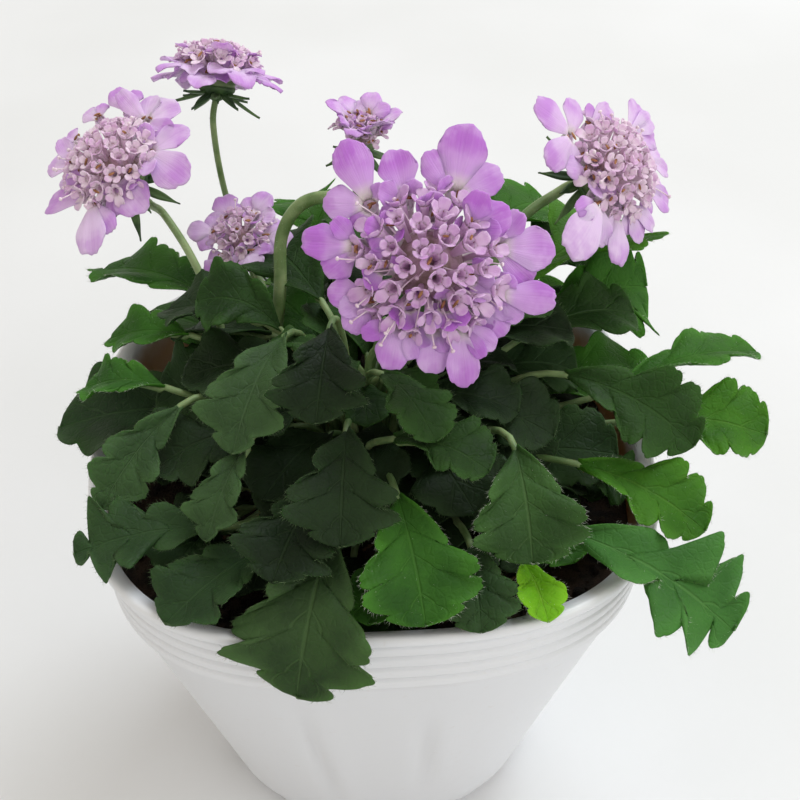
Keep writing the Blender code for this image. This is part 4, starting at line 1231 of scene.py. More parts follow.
for number, (leaf, root) in enumerate(leaves):
    draw = random.Random("leaf " + leaf.name)
    detail = SHOWN_DETAIL if number < len(SHOWN_LEAVES) else BACK_DETAIL
    parts = leaf_parts(leaf, root, LEAF_TONE_OF.get(leaf.name, "deep"), draw, detail)
    add_piece("blade_" + leaf.name, parts, "leaf", "leaf_" + leaf.name)
print("fine leaves made")

# %% [markdown]
# Under the large leaves a scabious is full of smaller ones, which hide its soil from above. Most of them
# are given dark tones, which is painted shade. The solids leave them out, as they are small repeats.
# Scattering them blindly would be easier, but blades would then cut through each other. A few that the
# photograph shows are placed first and lifted or lowered until they are clear. Each of the others is drawn
# again and again until it is clear of the leaves that stand already, and it is left out where there is no
# room.

# %% Leaves in the shade
Ruff = namedtuple("Ruff", "name kind count first step near far near_high far_high width tone")
# Their deep, inner and shady tones are painted shade.
RUFFS = (
    Ruff("low", "scalloped", 26, 4, 13.8, 27, 44, -6, -4, 15, "deep"),
    Ruff("mid", "scalloped", 16, 12, 22.5, 17, 36, 2, 1, 17, "deep"),
    Ruff("inner", "young", 12, 0, 30, 11, 28, 9, 9, 16, "deep"),
    Ruff("tuft", "young", 9, 20, 40, 5, 18, 14, 18, 13, "inner"),
    Ruff("rear", "scalloped", 8, 8, 24, 22, 42, 10, 8, 19, "shady"),
    Ruff("brow", "scalloped", 5, 10, 38, 16, 34, 19, 20, 18, "inner"),
    Ruff("hem", "young", 14, -158, 10, 33, 46, -9, -6, 13, "inner"),
    Ruff("wing", "scalloped", 7, -28, 22, 26, 46, 3, 5, 18, "shady"),
)
RUFF_TRIES = 26
# The leaves that the photograph shows behind and below the large ones, and the tone of each
LONE_LEAVES = (
    (Leaf("upper_right", "lobed", (36, 17, 12), (57, 25, 14), 26, 30, 3.0), "fresh"),
    (Leaf("upper_right_back", "scalloped", (31, 32, 14), (48, 44, 15), 20, 18, 3.0), "inner"),
    (Leaf("front_gap_left", "young", (1, -34, -2), (-3, -49, 0), 13, 0, 1.5), "fresh"),
    (Leaf("front_gap_middle", "young", (18, -36, -5), (12, -47, -1), 12, 0, 1.5), "bright"),
    (Leaf("front_gap_right", "young", (30, -30, -4), (33, -37, -1), 13, 0, 1.5), "fresh"),
    (Leaf("low_left", "young", (-31, -22, -5), (-36, -33, -4), 14, 0, 1.5), "shady"),
    (Leaf("low_right", "young", (38, -14, -3), (47, -18, -3), 14, 6, 1.5), "inner"),
)
LONE_LIFTS = (0, 1.5, -1.5, 3, -3, 5, -5, -7)
RUFF_SEED = 5
RUFF_TURN = 9
RUFF_ROLL = 22
# A small leaf's root is this share of the way from the middle to its neck
SHADE_ROOT = 0.5
LONE_DETAIL = Detail(50, 13, 0.6, 0)
RUFF_DETAIL = Detail(30, 9, 1.1, 0)


def blade_tree(leaf):
    """The blade as a searchable mesh, to find where two leaves would cross."""
    curve, face = blade_lines(leaf)
    rows, cols = 9, 5
    points = [blade_point(leaf, curve, face, row / (rows - 1), 2 * col / (cols - 1) - 1)
              for row in range(rows) for col in range(cols)]
    quads = [(first, first + 1, first + cols + 1, first + cols)
             for first in range((rows - 1) * cols) if first % cols < cols - 1]
    return BVHTree.FromPolygons(points, quads)


def ruff_leaf(ruff, number, draw):
    """One draw of a small leaf of a ruff."""
    way = math.radians(ruff.first + ruff.step * number + draw.uniform(-RUFF_TURN, RUFF_TURN))
    lift = draw.uniform(-2.5, 3.0)
    ends = []
    for radius, high in ((ruff.near, ruff.near_high), (ruff.far, ruff.far_high)):
        reach = radius + draw.uniform(-2.5, 1.5)
        turn = way + draw.uniform(-0.14, 0.14)
        ends.append(around(reach, turn, high + lift + draw.uniform(-1.5, 1.5)))
    width = ruff.width * draw.uniform(0.75, 1.1)
    roll = draw.uniform(-RUFF_ROLL, RUFF_ROLL)
    return Leaf(f"{ruff.name}_{number + 1}", ruff.kind, *ends, width, roll, draw.uniform(1.0, 3.5))


def first_clear(trials):
    """The first leaf of several that crosses no standing one; from then on it stands too."""
    for leaf in trials:
        tree = blade_tree(leaf)
        if not any(tree.overlap(other) for other in standing):
            standing.append(tree)
            return leaf
    return None


def shade_leaf(leaf, neck, tone_name, draw, detail):
    """A small fine leaf, rooted under its neck."""
    root = (SHADE_ROOT * neck[0], SHADE_ROOT * neck[1])
    return leaf_parts(leaf, root, tone_name, draw, detail)


standing = [blade_tree(leaf) for leaf, _ in leaves]
first_count = len(standing)
draw = random.Random(RUFF_SEED)
parts = []
for leaf, tone_name in LONE_LEAVES:
    found = first_clear(nudged(leaf, lift, 0, 1.0) for lift in LONE_LIFTS)
    if found:
        parts += shade_leaf(found, leaf.neck, tone_name, draw, LONE_DETAIL)
    else:
        print("no room for", leaf.name)
add_piece("shade_leaves_single", parts, "leaf")
for ruff in RUFFS:
    parts = []
    for number in range(ruff.count):
        found = first_clear(ruff_leaf(ruff, number, draw) for _ in range(RUFF_TRIES))
        if found:
            parts += shade_leaf(found, found.neck, ruff.tone, draw, RUFF_DETAIL)
    add_piece("shade_leaves_" + ruff.name, parts, "leaf")
print(len(standing) - first_count, "leaves in the shade")

# %% [markdown]
# Stems and heads share the same frame: +Z is the way a head faces. A stem is a pale ribbed tube with
# short hairs, and ends in a green receptacle with two rings of narrow bracts under the head.

# %% The stems
stem_green = speckled("stem_green", (98, 128, 70), (150, 172, 120), 140.0, 0.5, 0.35, 0.0001,
                      grain_scale=3600.0, grain_share=0.4, Subsurface_Weight=0.1, Subsurface_Scale=0.001)
bract_green = speckled("bract_green", (44, 74, 38), (84, 118, 62), 260.0, 0.6, 0.3, 0.0001,
                       grain_scale=3600.0, grain_share=0.5)
STEM_SLIM = {"2": 0.85, "3": 0.72, "4": 0.95}
NEAR_UNDER = 4.0
STEM_STEPS = 9
STEM_SIDES = 16
STEM_RIDGES = 8
RIDGE_DEPTH = 0.045
CUP_SIDES = 24
BRACTS = 6
BRACT_ROWS = 12
BRACT_COLS = 5
BRACT_THICK = 0.45
BRACT_HALF = 0.75
BRACT_LEAN = 26.0
BRACT_STAGGER = 8.0
WHORL_DROP = 16
WHORL_SHORT = 0.72
HAIRS_A_STEP = 5
STEM_HAIR = 0.025


def smooth_route(points, steps):
    """Points of a smooth curve through the given points."""
    knots = [Vector(point) for point in points]
    knots = [2 * knots[0] - knots[1]] + knots + [2 * knots[-1] - knots[-2]]
    route = []
    for before, start, end, after in zip(knots, knots[1:], knots[2:], knots[3:]):
        for step in range(steps):
            t = step / steps
            route.append(0.5 * (2 * start + (end - before) * t
                                + (2 * before - 5 * start + 4 * end - after) * t * t
                                + (3 * start - before - 3 * end + after) * t ** 3))
    route.append(knots[-2])
    return route


def head_frame(flower):
    """The place and turn of a head, with +Z the way it faces."""
    facing = Vector(flower.facing).normalized()
    turn = facing.to_track_quat("Z", "Y").to_matrix().to_4x4()
    return Matrix.Translation(Vector(flower.place) + Vector((0, 0, POT_HEIGHT))) @ turn


def stem_route(flower, steps):
    """A stem's line from the soil to the underside of its head."""
    frame_of_head = head_frame(flower)
    points = [Vector(point) + Vector((0, 0, POT_HEIGHT)) for point in flower.route]
    foot = Vector((points[0].x, points[0].y, SOIL_TOP - HOLE_DEPTH + SEAT))
    rise = Vector((points[0].x, points[0].y, SOIL_TOP + 2.0))
    under = frame_of_head @ Vector((0, 0, -8.0))
    if (points[-1] - under).length < NEAR_UNDER:
        points.pop()
    return [foot] + smooth_route([rise] + points[1:] + [under, frame_of_head @ Vector((0, 0, -1.5))], steps)


def bract_part(length, half, draw, paint):
    """A narrow pointed leaf along +X with a folded middle and a lifted tip."""
    rows, cols = BRACT_ROWS, BRACT_COLS
    s = np.linspace(0, 1, rows)[:, None]
    a = np.linspace(-1, 1, cols)[None, :]
    belly = 0.7 + 0.5 * np.sin(np.pi * np.minimum(s * 1.15, 1.0)) - 0.62 * s ** 2
    wide = half * belly * (1 - s ** 5) + 0.05
    points = np.stack([np.broadcast_to(s * length, (rows, cols)), a * wide,
                       0.8 * s ** 2 + 0.35 * np.abs(a) * wide + 0 * a], axis=-1)
    uv = np.stack(np.broadcast_arrays(a * 0.5 + 0.5, s), axis=-1)
    return sheet(points, np.full((rows, cols), BRACT_THICK), uv, draw.random(), paint)


def receptacle_half(flower):
    """The radius of the green cup that carries a head."""
    return 0.10 * flower.width + 1.0


def build_stem(key, flower):
    """A stem, its receptacle, two whorls of bracts and short hairs."""
    draw = random.Random("stem " + key)
    route = stem_route(flower, STEM_STEPS)
    radius = flower.stem_radius * STEM_SLIM.get(key, 1.0)
    radii = [radius * (1.05 - 0.12 * step / len(route)) for step in range(len(route))]
    parts = [tube(route, radii, STEM_SIDES, draw.random(), stem_green, STEM_RIDGES, RIDGE_DEPTH)]
    frame_of_head = head_frame(flower)
    cup = receptacle_half(flower)
    rings = [(radius * 0.95, -3.4), (radius * 1.15, -2.8), (cup * 0.72, -1.7), (cup * 0.96, -0.8),
             (cup, 0.0)]
    path = [frame_of_head @ Vector((0, 0, height)) for _, height in rings]
    parts.append(tube(path, [reach for reach, _ in rings], CUP_SIDES, draw.random(), bract_green,
                      STEM_RIDGES, 0.04))
    length = 0.19 * flower.width + 2.4
    for number in range(2 * BRACTS):
        whorl = number >= BRACTS
        lean = math.radians(BRACT_LEAN + BRACT_STAGGER * (number % 2) - WHORL_DROP * whorl)
        place = frame_of_head @ Matrix.Rotation(math.tau * (number + 0.3 + 0.5 * whorl) / BRACTS, 4, "Z")
        place = place @ Matrix.Translation((cup * 0.55, 0, -1.5)) @ Matrix.Rotation(lean, 4, "Y")
        share = WHORL_SHORT if whorl else 1.0
        part = bract_part(length * share * draw.uniform(0.9, 1.05), BRACT_HALF, draw, bract_green)
        parts.append(moved(part, place))
    roots, ways = [], []
    spots = np.array([tuple(point) for point in route])
    heading = np.gradient(spots, axis=0)
    for number in range(3, len(route) - 1):
        for _ in range(HAIRS_A_STEP):
            share = draw.random()
            way = np.cross(heading[number], [draw.gauss(0, 1) for _ in range(3)])
            way /= np.linalg.norm(way)
            spot = spots[number] + heading[number] * (share - 0.5)
            roots.append(spot + way * radii[number] * 0.97)
            ways.append(way + 0.3 * heading[number] / np.linalg.norm(heading[number]))
    lengths = [draw.uniform(0.3, 0.75) for _ in roots]
    parts.append(hairs(roots, ways, lengths, STEM_HAIR, 0.5, hair_white))
    return add_piece("stalk_of_flower_" + key, parts, "stem", "stem_" + key)


for key, flower in FLOWERS.items():
    build_stem(key, flower)
print("stems made")

# %% [markdown]
# Petal tissue. A floret is cream in its throat, soft lilac on its lobes and stronger in colour towards
# their ends, with faint darker lines running out along the lobe. U runs across a lobe and V from the
# bottom of the tube to the tip.

# %% The petal tissue group
petal, given, out = start_group(
    "petal_tissue",
    [("Throat", "Color", (0.8, 0.7, 0.5, 1)), ("Body", "Color", (0.5, 0.3, 0.7, 1)),
     ("Rich", "Color", (0.4, 0.2, 0.6, 1)), ("Throat End", "Float", 0.4)],
    [("Colour", "Color"), ("Height", "Float")])
uv_place = petal.nodes.new("ShaderNodeTexCoord").outputs["UV"]
split = petal.nodes.new("ShaderNodeSeparateXYZ")
petal.links.new(uv_place, split.inputs[0])
streaks = grain(petal, 1.0, 3.0, (22.0, 1.6, 1.0), "UV")
patch = grain(petal, 260.0, 3.0)
rich = ramp(petal, split.outputs["Y"], 0.45, 0.85, 0.0, 0.85)
rich = maths(petal, "MULTIPLY", rich, ramp(petal, patch, 0.3, 0.62, 0.25, 1.0))
rich = maths(petal, "ADD", rich, maths(petal, "MULTIPLY", maths(petal, "SUBTRACT", streaks, 0.5), 0.55))
own_tone = maths(petal, "SUBTRACT", tone_of(petal), 0.5)
rich = maths(petal, "ADD", rich, maths(petal, "MULTIPLY", own_tone, 0.7))
rich = maths(petal, "MINIMUM", maths(petal, "MAXIMUM", rich, 0.0), 1.0)
body = mixed(petal, rich, given["Body"], given["Rich"])
past_throat = maths(petal, "SUBTRACT", split.outputs["Y"], given["Throat End"])
throat = ramp(petal, past_throat, -0.14, 0.12, 1.0, 0.0)
plug(petal, out["Colour"], mixed(petal, throat, body, given["Throat"]))
plug(petal, out["Height"], streaks)

# %% The petal finishes
petal_look = dict(Subsurface_Weight=0.35, Subsurface_Scale=0.002, Subsurface_Radius=(1.0, 0.7, 1.0),
                  Sheen_Weight=0.15, Sheen_Roughness=0.4, Specular_IOR_Level=0.3)
# Each tone: throat, body and rich colour, where the throat ends and how strong the relief is
PETAL_TONES = {
    "petal_lilac": ((246, 240, 224), (208, 164, 230), (176, 104, 204), 0.37, 0.5),
    "cup_pink": ((160, 124, 98), (226, 188, 230), (198, 146, 208), 0.29, 0.4),
    "petal_pale": ((248, 244, 230), (226, 194, 240), (192, 134, 216), 0.32, 0.5),
    "cup_pale": ((192, 160, 132), (242, 216, 238), (218, 172, 216), 0.26, 0.4),
}
PETAL_ROUGH = 0.6
petal_paints = {}
for title, (throat_colour, body_colour, rich_colour, throat_end, bump) in PETAL_TONES.items():
    petal_paints[title] = make_material(
        title, petal, {"Throat": shade(*throat_colour), "Body": shade(*body_colour),
                       "Rich": shade(*rich_colour), "Throat End": throat_end},
        PETAL_ROUGH, bump, 0.0002, **petal_look)
style_pale = speckled("style_pale", (220, 192, 212), (240, 224, 234), 300.0, 0.4)
anther_brown = speckled("anther_brown", (116, 72, 38), (174, 124, 84), 900.0, 0.7, 0.6, 0.0002,
                        grain_scale=5000.0, grain_share=0.8)
heart_green = speckled("heart_green", (140, 118, 112), (188, 156, 172), 500.0, 0.7, 0.5, 0.0003,
                       grain_scale=2500.0, grain_share=0.6)
print("petal finishes:", ", ".join(petal_paints))

# %% [markdown]
# A floret is a short tube that opens into five lobes: three broad ones outwards and two small ones that
# stand up towards the middle of the head. The tube is one thin sheet that closes on itself, and each
# lobe is one sheet that rises out of the tube's mouth, bends over its lip and widens into a round end.
# Drawing each lobe alone lets it curl, lean and overlap its neighbours as real ones do.

# %% Florets
Lobe = namedtuple("Lobe", "way reach wide lift bend cup ruffle")
CLAW = 0.44
PETAL_THICK = 0.30
FUNNEL_THICK = 0.2
# A lobe leaves its mouth this steeply, and its line is worked out in this many points
MOUTH_SLOPE = 82
LINE_POINTS = 60
THREAD_LONG = (1.0, 2.2)
ANTHER_LONG = (0.6, 0.85)
KNOB_HALF = (0.40, 0.40, 0.30)
CUP_LOBES = 5
CUP_ROWS = 9
CUP_COLS = 7
CUP_THICK = 0.24
CUP_CLAW = 0.74


def funnel_part(foot, mouth_place, foot_radius, mouth_radius, draw, paint, rows=7, cols=13):
    """A floret's tube from its foot to its mouth, which opens along +Z."""
    foot, end = Vector(foot), Vector(mouth_place)
    knee = end - Vector((0, 0, 0.45 * (end - foot).length))
    path = [bezier([foot, knee, end], t) for t in np.linspace(0, 1, rows)]
    points, uv = np.empty((rows, cols, 3)), np.empty((rows, cols, 2))
    for row, spot in enumerate(path):
        t = row / (rows - 1)
        ahead = (path[min(row + 1, rows - 1)] - path[max(row - 1, 0)]).normalized()
        ahead = ahead.lerp(Vector((0, 0, 1)), t * t).normalized()
        side = Vector((0, 1, 0)).cross(ahead).normalized()
        over = ahead.cross(side)
        radius = foot_radius + (mouth_radius - foot_radius) * t ** 1.8
        for col in range(cols):
            angle = math.tau * col / (cols - 1)
            points[row, col] = spot + radius * (math.cos(angle) * side + math.sin(angle) * over)
            uv[row, col] = (col / (cols - 1), 0.30 + 0.06 * t)
    return sheet(points, np.full((rows, cols), FUNNEL_THICK), uv, draw.random(), paint)


def lobe_part(mouth, mouth_place, lobe, draw, paint, rows, cols, thickness=PETAL_THICK, claw=CLAW):
    """One lobe, in the floret's frame: it starts inside the mouth and runs out its own way."""
    s = np.linspace(0, 1, rows)
    a = np.sin(np.pi / 2 * np.linspace(-1, 1, cols))[None, :]
    length = lobe.reach + 0.5 * mouth
    lift, bend = math.radians(lobe.lift), math.radians(lobe.bend)
    fine = np.linspace(0, 1, LINE_POINTS)
    steep = (math.radians(MOUTH_SLOPE) - lift) * (1 - smooth_step(0.0, 0.24, fine))
    slope = lift + steep - bend * fine ** 1.3
    last = LINE_POINTS - 1
    forward = np.concatenate([[0], np.cumsum(np.cos(slope[:-1]))]) / last * length
    rise = np.concatenate([[0], np.cumsum(np.sin(slope[:-1]))]) / last * length - 0.35 * mouth
    wave, turn = draw.uniform(0, math.tau), draw.uniform(0, math.tau)
    widening = claw + (1 - claw) * smooth_step(0.10, 0.72, s)
    spoon = lobe.wide * widening * (1 - 0.10 * smooth_step(0.8, 1, s))
    round_off = 0.95 * (lobe.wide / length) * (1 - np.sqrt(1 - np.minimum(a ** 2, 1.0)))
    ragged = 0.018 * np.sin(6 * a + turn) + (0.014 * np.sin(17 * a + wave) if cols > 13 else 0)
    reached = s[:, None] * (1 - s[:, None] ** 2 * (round_off + ragged)) + 0 * a
    out = smooth_step(0.0, 0.32, s)[:, None]
    arc = a * math.radians(40)
    along = np.interp(reached, fine, forward) + mouth * (0.9 * np.cos(arc) * (1 - out) + 0.9 * out)
    aside = (1 - out) * 0.9 * mouth * np.sin(arc) + out * a * spoon[:, None]
    height = np.interp(reached, fine, rise)
    height += lobe.cup * lobe.wide * (a ** 2 - 0.3) * out
    height += lobe.ruffle * s[:, None] ** 2 * np.sin(1.6 * math.pi * a + wave)
    height += 0.5 * lobe.ruffle * a ** 2 * np.sin(3 * math.pi * s[:, None] + turn) * out
    height -= 0.05 * lobe.wide * np.exp(-(a / 0.12) ** 2) * out
    way = math.radians(lobe.way)
    points = np.stack([math.cos(way) * along - math.sin(way) * aside,
                       math.sin(way) * along + math.cos(way) * aside, height], axis=-1)
    uv = np.stack(np.broadcast_arrays(a * 0.5 + 0.5, 0.2 + 0.8 * s[:, None]), axis=-1)
    thin = thickness * (0.4 + 0.6 * (1 - np.abs(a) ** 5) * (1 - s[:, None] ** 6))
    return sheet(points + np.array(mouth_place), thin, uv, draw.random(), paint)


def anther_parts(place, way, draw):
    """A brown oblong anther lying across the end of a short thread."""
    place, way = Vector(place), Vector(way).normalized()
    end = place + way * draw.uniform(*THREAD_LONG)
    across = way.orthogonal()
    across.rotate(Matrix.Rotation(draw.uniform(0, math.tau), 3, way))
    return [tube([place, place.lerp(end, 0.5), end], [0.09, 0.09, 0.07], 5, 0.5, style_pale),
            bead(end, (0.26, 0.21, draw.uniform(*ANTHER_LONG)), across, draw.random(), anther_brown, 6, 8)]


def style_parts(foot, end, draw):
    """A thin style from its foot to its pale knob."""
    foot, end = Vector(foot), Vector(end)
    way = end - foot
    bow = Vector([draw.gauss(0, 1) for _ in range(3)]).cross(way).normalized() * way.length * 0.05
    path = [foot.lerp(end, t) + bow * math.sin(math.pi * t) for t in np.linspace(0, 1, 6)]
    return [tube(path, [0.15, 0.14, 0.13, 0.12, 0.12, 0.14], 6, draw.random(), style_pale),
            bead(end, KNOB_HALF, path[-1] - path[-2], draw.random(), style_pale, 6, 8)]


def floret_parts(length, mouth, mouth_at, mouth_high, draw, paint, size, rows, cols):
    """A floret along +X with three broad lobes outwards and two small ones that stand up behind."""
    reach = length * (1 - mouth_at) - 0.5 * mouth
    wide = 0.42 * reach * size
    lobes = [Lobe(draw.uniform(-8, 8), reach * draw.uniform(0.92, 1.06), wide * draw.uniform(0.92, 1.12),
                  draw.uniform(4, 20), draw.uniform(20, 58), draw.uniform(-0.20, 0.16), 0.05 * reach)]
    for side in (-1, 1):
        lobes.append(Lobe(side * (60 + draw.uniform(-9, 9)), reach * draw.uniform(0.62, 0.86),
                          wide * draw.uniform(0.70, 0.92), draw.uniform(4, 28), draw.uniform(20, 62),
                          draw.uniform(-0.22, 0.2), 0.05 * reach))
        lobes.append(Lobe(side * (138 + draw.uniform(-10, 10)), reach * draw.uniform(0.30, 0.45),
                          wide * draw.uniform(0.44, 0.58), draw.uniform(56, 76), draw.uniform(-6, 24),
                          draw.uniform(0.0, 0.25), 0.03 * reach))
    place = (mouth_at * length, 0.0, mouth_high)
    parts = [lobe_part(mouth, place, lobe, draw, paint, rows, cols) for lobe in lobes]
    return parts + [funnel_part((0, 0, 0), place, 0.4 * mouth, mouth, draw, paint)]


def cup_parts(high, mouth, lopsided, draw, paint):
    """A small floret from the middle of the head, opening along +Z, with longer lobes on its outer side."""
    parts = [funnel_part((0, 0, 0), (0, 0, high), 0.35 * mouth, mouth, draw, paint, 6, 9)]
    for number in range(CUP_LOBES):
        way = 360 // CUP_LOBES * number + draw.uniform(-7, 7)
        longer = 1 + 1.5 * lopsided * max(math.cos(math.radians(way)), 0.0)
        lobe = Lobe(way, mouth * draw.uniform(1.0, 1.4) * longer, mouth * (0.55 + 0.27 * longer),
                    draw.uniform(52, 76) - 18 * (longer - 1), draw.uniform(-10, 40), 0.25, 0.06 * mouth)
        parts.append(lobe_part(mouth, (0, 0, high), lobe, draw, paint, CUP_ROWS, CUP_COLS, CUP_THICK,
                               CUP_CLAW))
    for _ in range(draw.choice((0, 0, 1, 1))):
        way = draw.uniform(0, math.tau)
        spot = (0.45 * mouth * math.cos(way), 0.45 * mouth * math.sin(way), high - 1.5)
        parts += anther_parts(spot, (draw.uniform(-0.2, 0.2), draw.uniform(-0.2, 0.2), 1), draw)
    return parts


# %% [markdown]
# The largest head and the two big ones beside it are looked at most, so their florets are set one by one,
# from where the photograph shows their throats and the ends of their lobes. Each position is a pixel of
# the photograph, and the camera above turns it into a place on the head: a ray through the pixel meets a
# plane at the florets' height. Heads 3, 5 and 6 are laid out by the same draws as in the part's source.

# %% Places on three heads, read off the photograph
# Each floret: the pixel of its throat, then for each lobe the pixel of its end, its width, lift and bend
FRONT_FLORETS = (
    ((453, 197), ((467, 127), 4.1, 8, 14), ((500, 172), 2.9, 10, 30), ((428, 154), 2.6, 10, 14),
     ((437, 178), 1.7, 62, 10)),
    ((406, 203), ((393, 152), 3.3, 12, 22), ((371, 190), 2.2, 52, 16), ((418, 180), 1.5, 56, 8),
     ((384, 221), 1.9, 20, 30)),
    ((370, 206), ((345, 143), 3.3, 6, 12), ((326, 202), 3.1, 8, 34), ((358, 226), 2.2, 12, 30),
     ((382, 186), 1.5, 50, 10)),
    ((360, 247), ((304, 240), 3.0, 6, 18), ((334, 223), 1.8, 34, 20), ((327, 271), 2.9, 8, 30),
     ((374, 238), 1.6, 60, 10)),
    ((371, 296), ((330, 292), 2.6, 14, 40), ((350, 329), 2.6, 10, 44), ((342, 312), 2.0, 26, 40),
     ((384, 284), 1.6, 60, 10)),
    ((399, 318), ((390, 367), 2.9, 6, 24), ((364, 336), 1.7, 20, 24), ((413, 357), 1.6, 16, 30),
     ((404, 304), 1.5, 60, 10)),
    ((433, 322), ((433, 371), 3.0, 8, 30), ((416, 344), 1.9, 30, 30), ((445, 350), 1.8, 26, 30),
     ((436, 308), 1.5, 60, 10)),
    ((459, 322), ((464, 385), 2.7, 4, 14), ((493, 347), 2.0, 16, 26), ((482, 356), 1.4, 22, 26),
     ((452, 306), 1.5, 60, 10)),
    ((474, 303), ((506, 331), 3.0, 10, 42), ((516, 310), 2.2, 16, 36), ((487, 330), 2.2, 22, 40),
     ((466, 291), 1.5, 60, 10)),
    ((492, 294), ((553, 300), 2.8, 6, 12), ((520, 318), 2.0, 10, 34), ((512, 280), 2.4, 40, 30),
     ((480, 284), 1.5, 58, 10)),
    ((493, 248), ((554, 250), 3.7, 8, 30), ((531, 281), 2.6, 12, 36), ((519, 216), 2.1, 26, 16),
     ((480, 255), 1.6, 58, 10)),
    ((467, 231), ((508, 212), 3.2, 26, 34), ((480, 196), 2.4, 40, 20), ((498, 232), 2.0, 40, 30),
     ((452, 222), 1.5, 62, 8)),
    ((434, 216), ((430, 190), 1.9, 54, 14), ((450, 204), 1.6, 48, 14), ((416, 200), 1.6, 48, 14),
     ((440, 232), 1.4, 60, 8)),
    ((388, 232), ((366, 226), 2.0, 44, 30), ((374, 250), 1.8, 40, 30), ((388, 212), 1.7, 50, 20),
     ((402, 238), 1.4, 62, 8)),
    ((469, 279), ((492, 282), 2.0, 44, 26), ((484, 300), 1.9, 40, 30), ((486, 262), 1.8, 46, 20),
     ((456, 274), 1.4, 62, 8)),
    ((445, 306), ((450, 330), 1.9, 40, 34), ((466, 322), 1.7, 40, 30), ((430, 326), 1.6, 40, 30),
     ((440, 292), 1.4, 62, 8)),
    ((409, 306), ((404, 328), 1.8, 40, 34), ((392, 316), 1.7, 40, 30), ((420, 324), 1.6, 40, 30),
     ((414, 292), 1.4, 62, 8)),
    ((383, 268), ((364, 272), 1.9, 42, 30), ((368, 288), 1.8, 40, 30), ((372, 252), 1.7, 46, 20),
     ((396, 264), 1.4, 62, 8)),
)
# The pale knobs of the styles on the largest head
FRONT_KNOBS = ((338, 256), (367, 270), (376, 298), (358, 304), (352, 320), (382, 343), (387, 332),
               (416, 329), (436, 346), (455, 350), (449, 320), (429, 308), (503, 307), (475, 296),
               (477, 316), (504, 263), (459, 271), (392, 265), (401, 289), (358, 200), (395, 197),
               (431, 290), (417, 278))
LEFT_FLORETS = (
    ((77, 168), ((49, 162), 2.5, 4, 24), ((64, 190), 1.6, 8, 30), ((66, 146), 1.4, 30, 20)),
    ((97, 204), ((42, 200), 2.3, 0, 30), ((88, 251), 2.7, 0, 20), ((108, 228), 1.8, 4, 30),
     ((80, 184), 1.6, 40, 20)),
    ((119, 181), ((140, 208), 3.2, 2, 26), ((117, 212), 2.0, 6, 24), ((98, 192), 1.9, 30, 24),
     ((140, 186), 1.6, 20, 20)),
    ((151, 156), ((183, 179), 3.1, 2, 24), ((186, 128), 2.8, 4, 24), ((154, 180), 1.6, 30, 20),
     ((150, 132), 1.6, 40, 20)),
    ((147, 124), ((176, 104), 2.9, 4, 26), ((152, 96), 2.4, 8, 20), ((172, 134), 1.9, 14, 30),
     ((130, 104), 1.6, 40, 20)),
    ((128, 112), ((134, 90), 2.2, 8, 24), ((114, 92), 1.8, 14, 24)),
    ((100, 120), ((98, 104), 1.8, 10, 30), ((84, 112), 1.6, 10, 30)),
    ((80, 142), ((66, 134), 1.8, 10, 30), ((62, 150), 1.8, 6, 30)),
)
RIGHT_FLORETS = (
    ((569, 137), ((536, 103), 2.7, 4, 16), ((573, 100), 2.3, 10, 24), ((550, 164), 2.3, 4, 24),
     ((572, 165), 2.0, 10, 30)),
    ((588, 128), ((589, 106), 1.2, 20, 16), ((606, 110), 1.9, 24, 30)),
    ((624, 136), ((639, 103), 2.4, 4, 20), ((658, 136), 2.5, 4, 28), ((652, 118), 2.0, 8, 28)),
    ((643, 160), ((670, 171), 1.5, 0, 16), ((660, 152), 1.8, 8, 28), ((656, 184), 1.6, 8, 28)),
    ((640, 187), ((671, 205), 2.3, 2, 20), ((662, 188), 1.8, 10, 24), ((650, 214), 1.7, 8, 28)),
    ((624, 206), ((643, 240), 2.3, 2, 20), ((655, 226), 1.8, 8, 28), ((630, 232), 1.6, 8, 28)),
    ((614, 214), ((620, 264), 2.4, 2, 18), ((604, 240), 1.7, 8, 28)),
    ((595, 203), ((572, 254), 3.3, 0, 18), ((604, 244), 2.4, 4, 30), ((574, 214), 1.9, 20, 30),
     ((606, 190), 1.6, 44, 20)),
    ((586, 172), ((566, 166), 1.9, 14, 30), ((591, 200), 1.3, 30, 10), ((600, 182), 1.6, 44, 20)),
)
PLACED_FLORETS = {"1": FRONT_FLORETS, "2": LEFT_FLORETS, "4": RIGHT_FLORETS}
LARGEST = "1"
BROADER = 1.22
OUTER_ROW = 11
THROAT_HEIGHT = 5.4
SECOND_HEIGHT = 7.6
STAGGER = 0.35
TIP_RISE = 0.6
OUTER_MOUTH = 1.35
SECOND_MOUTH = 1.15
# Lobes that are lifted more than this stand up towards the middle
STANDING_LIFT = 45
LOBE_ROWS = 18
LOBE_COLS = 15
KNOB_HEIGHT = 10.2
KNOB_FALL = 0.012
STYLE_FOOT = 8.4


def on_head(flower, pixel, height):
    """Where the ray through a pixel of the photograph meets a plane over a head's receptacle."""
    ray = Vector((pixel[0] - IMAGE_SIZE / 2, IMAGE_SIZE / 2 - pixel[1], -FOCAL_PIXELS))
    ray.rotate((CAMERA_TARGET - CAMERA_PLACE).to_track_quat("-Z", "Y"))
    to_head = head_frame(flower).inverted()
    eye, way = to_head @ CAMERA_PLACE, to_head.to_3x3() @ ray
    return eye + way * (height - eye.z) / way.z


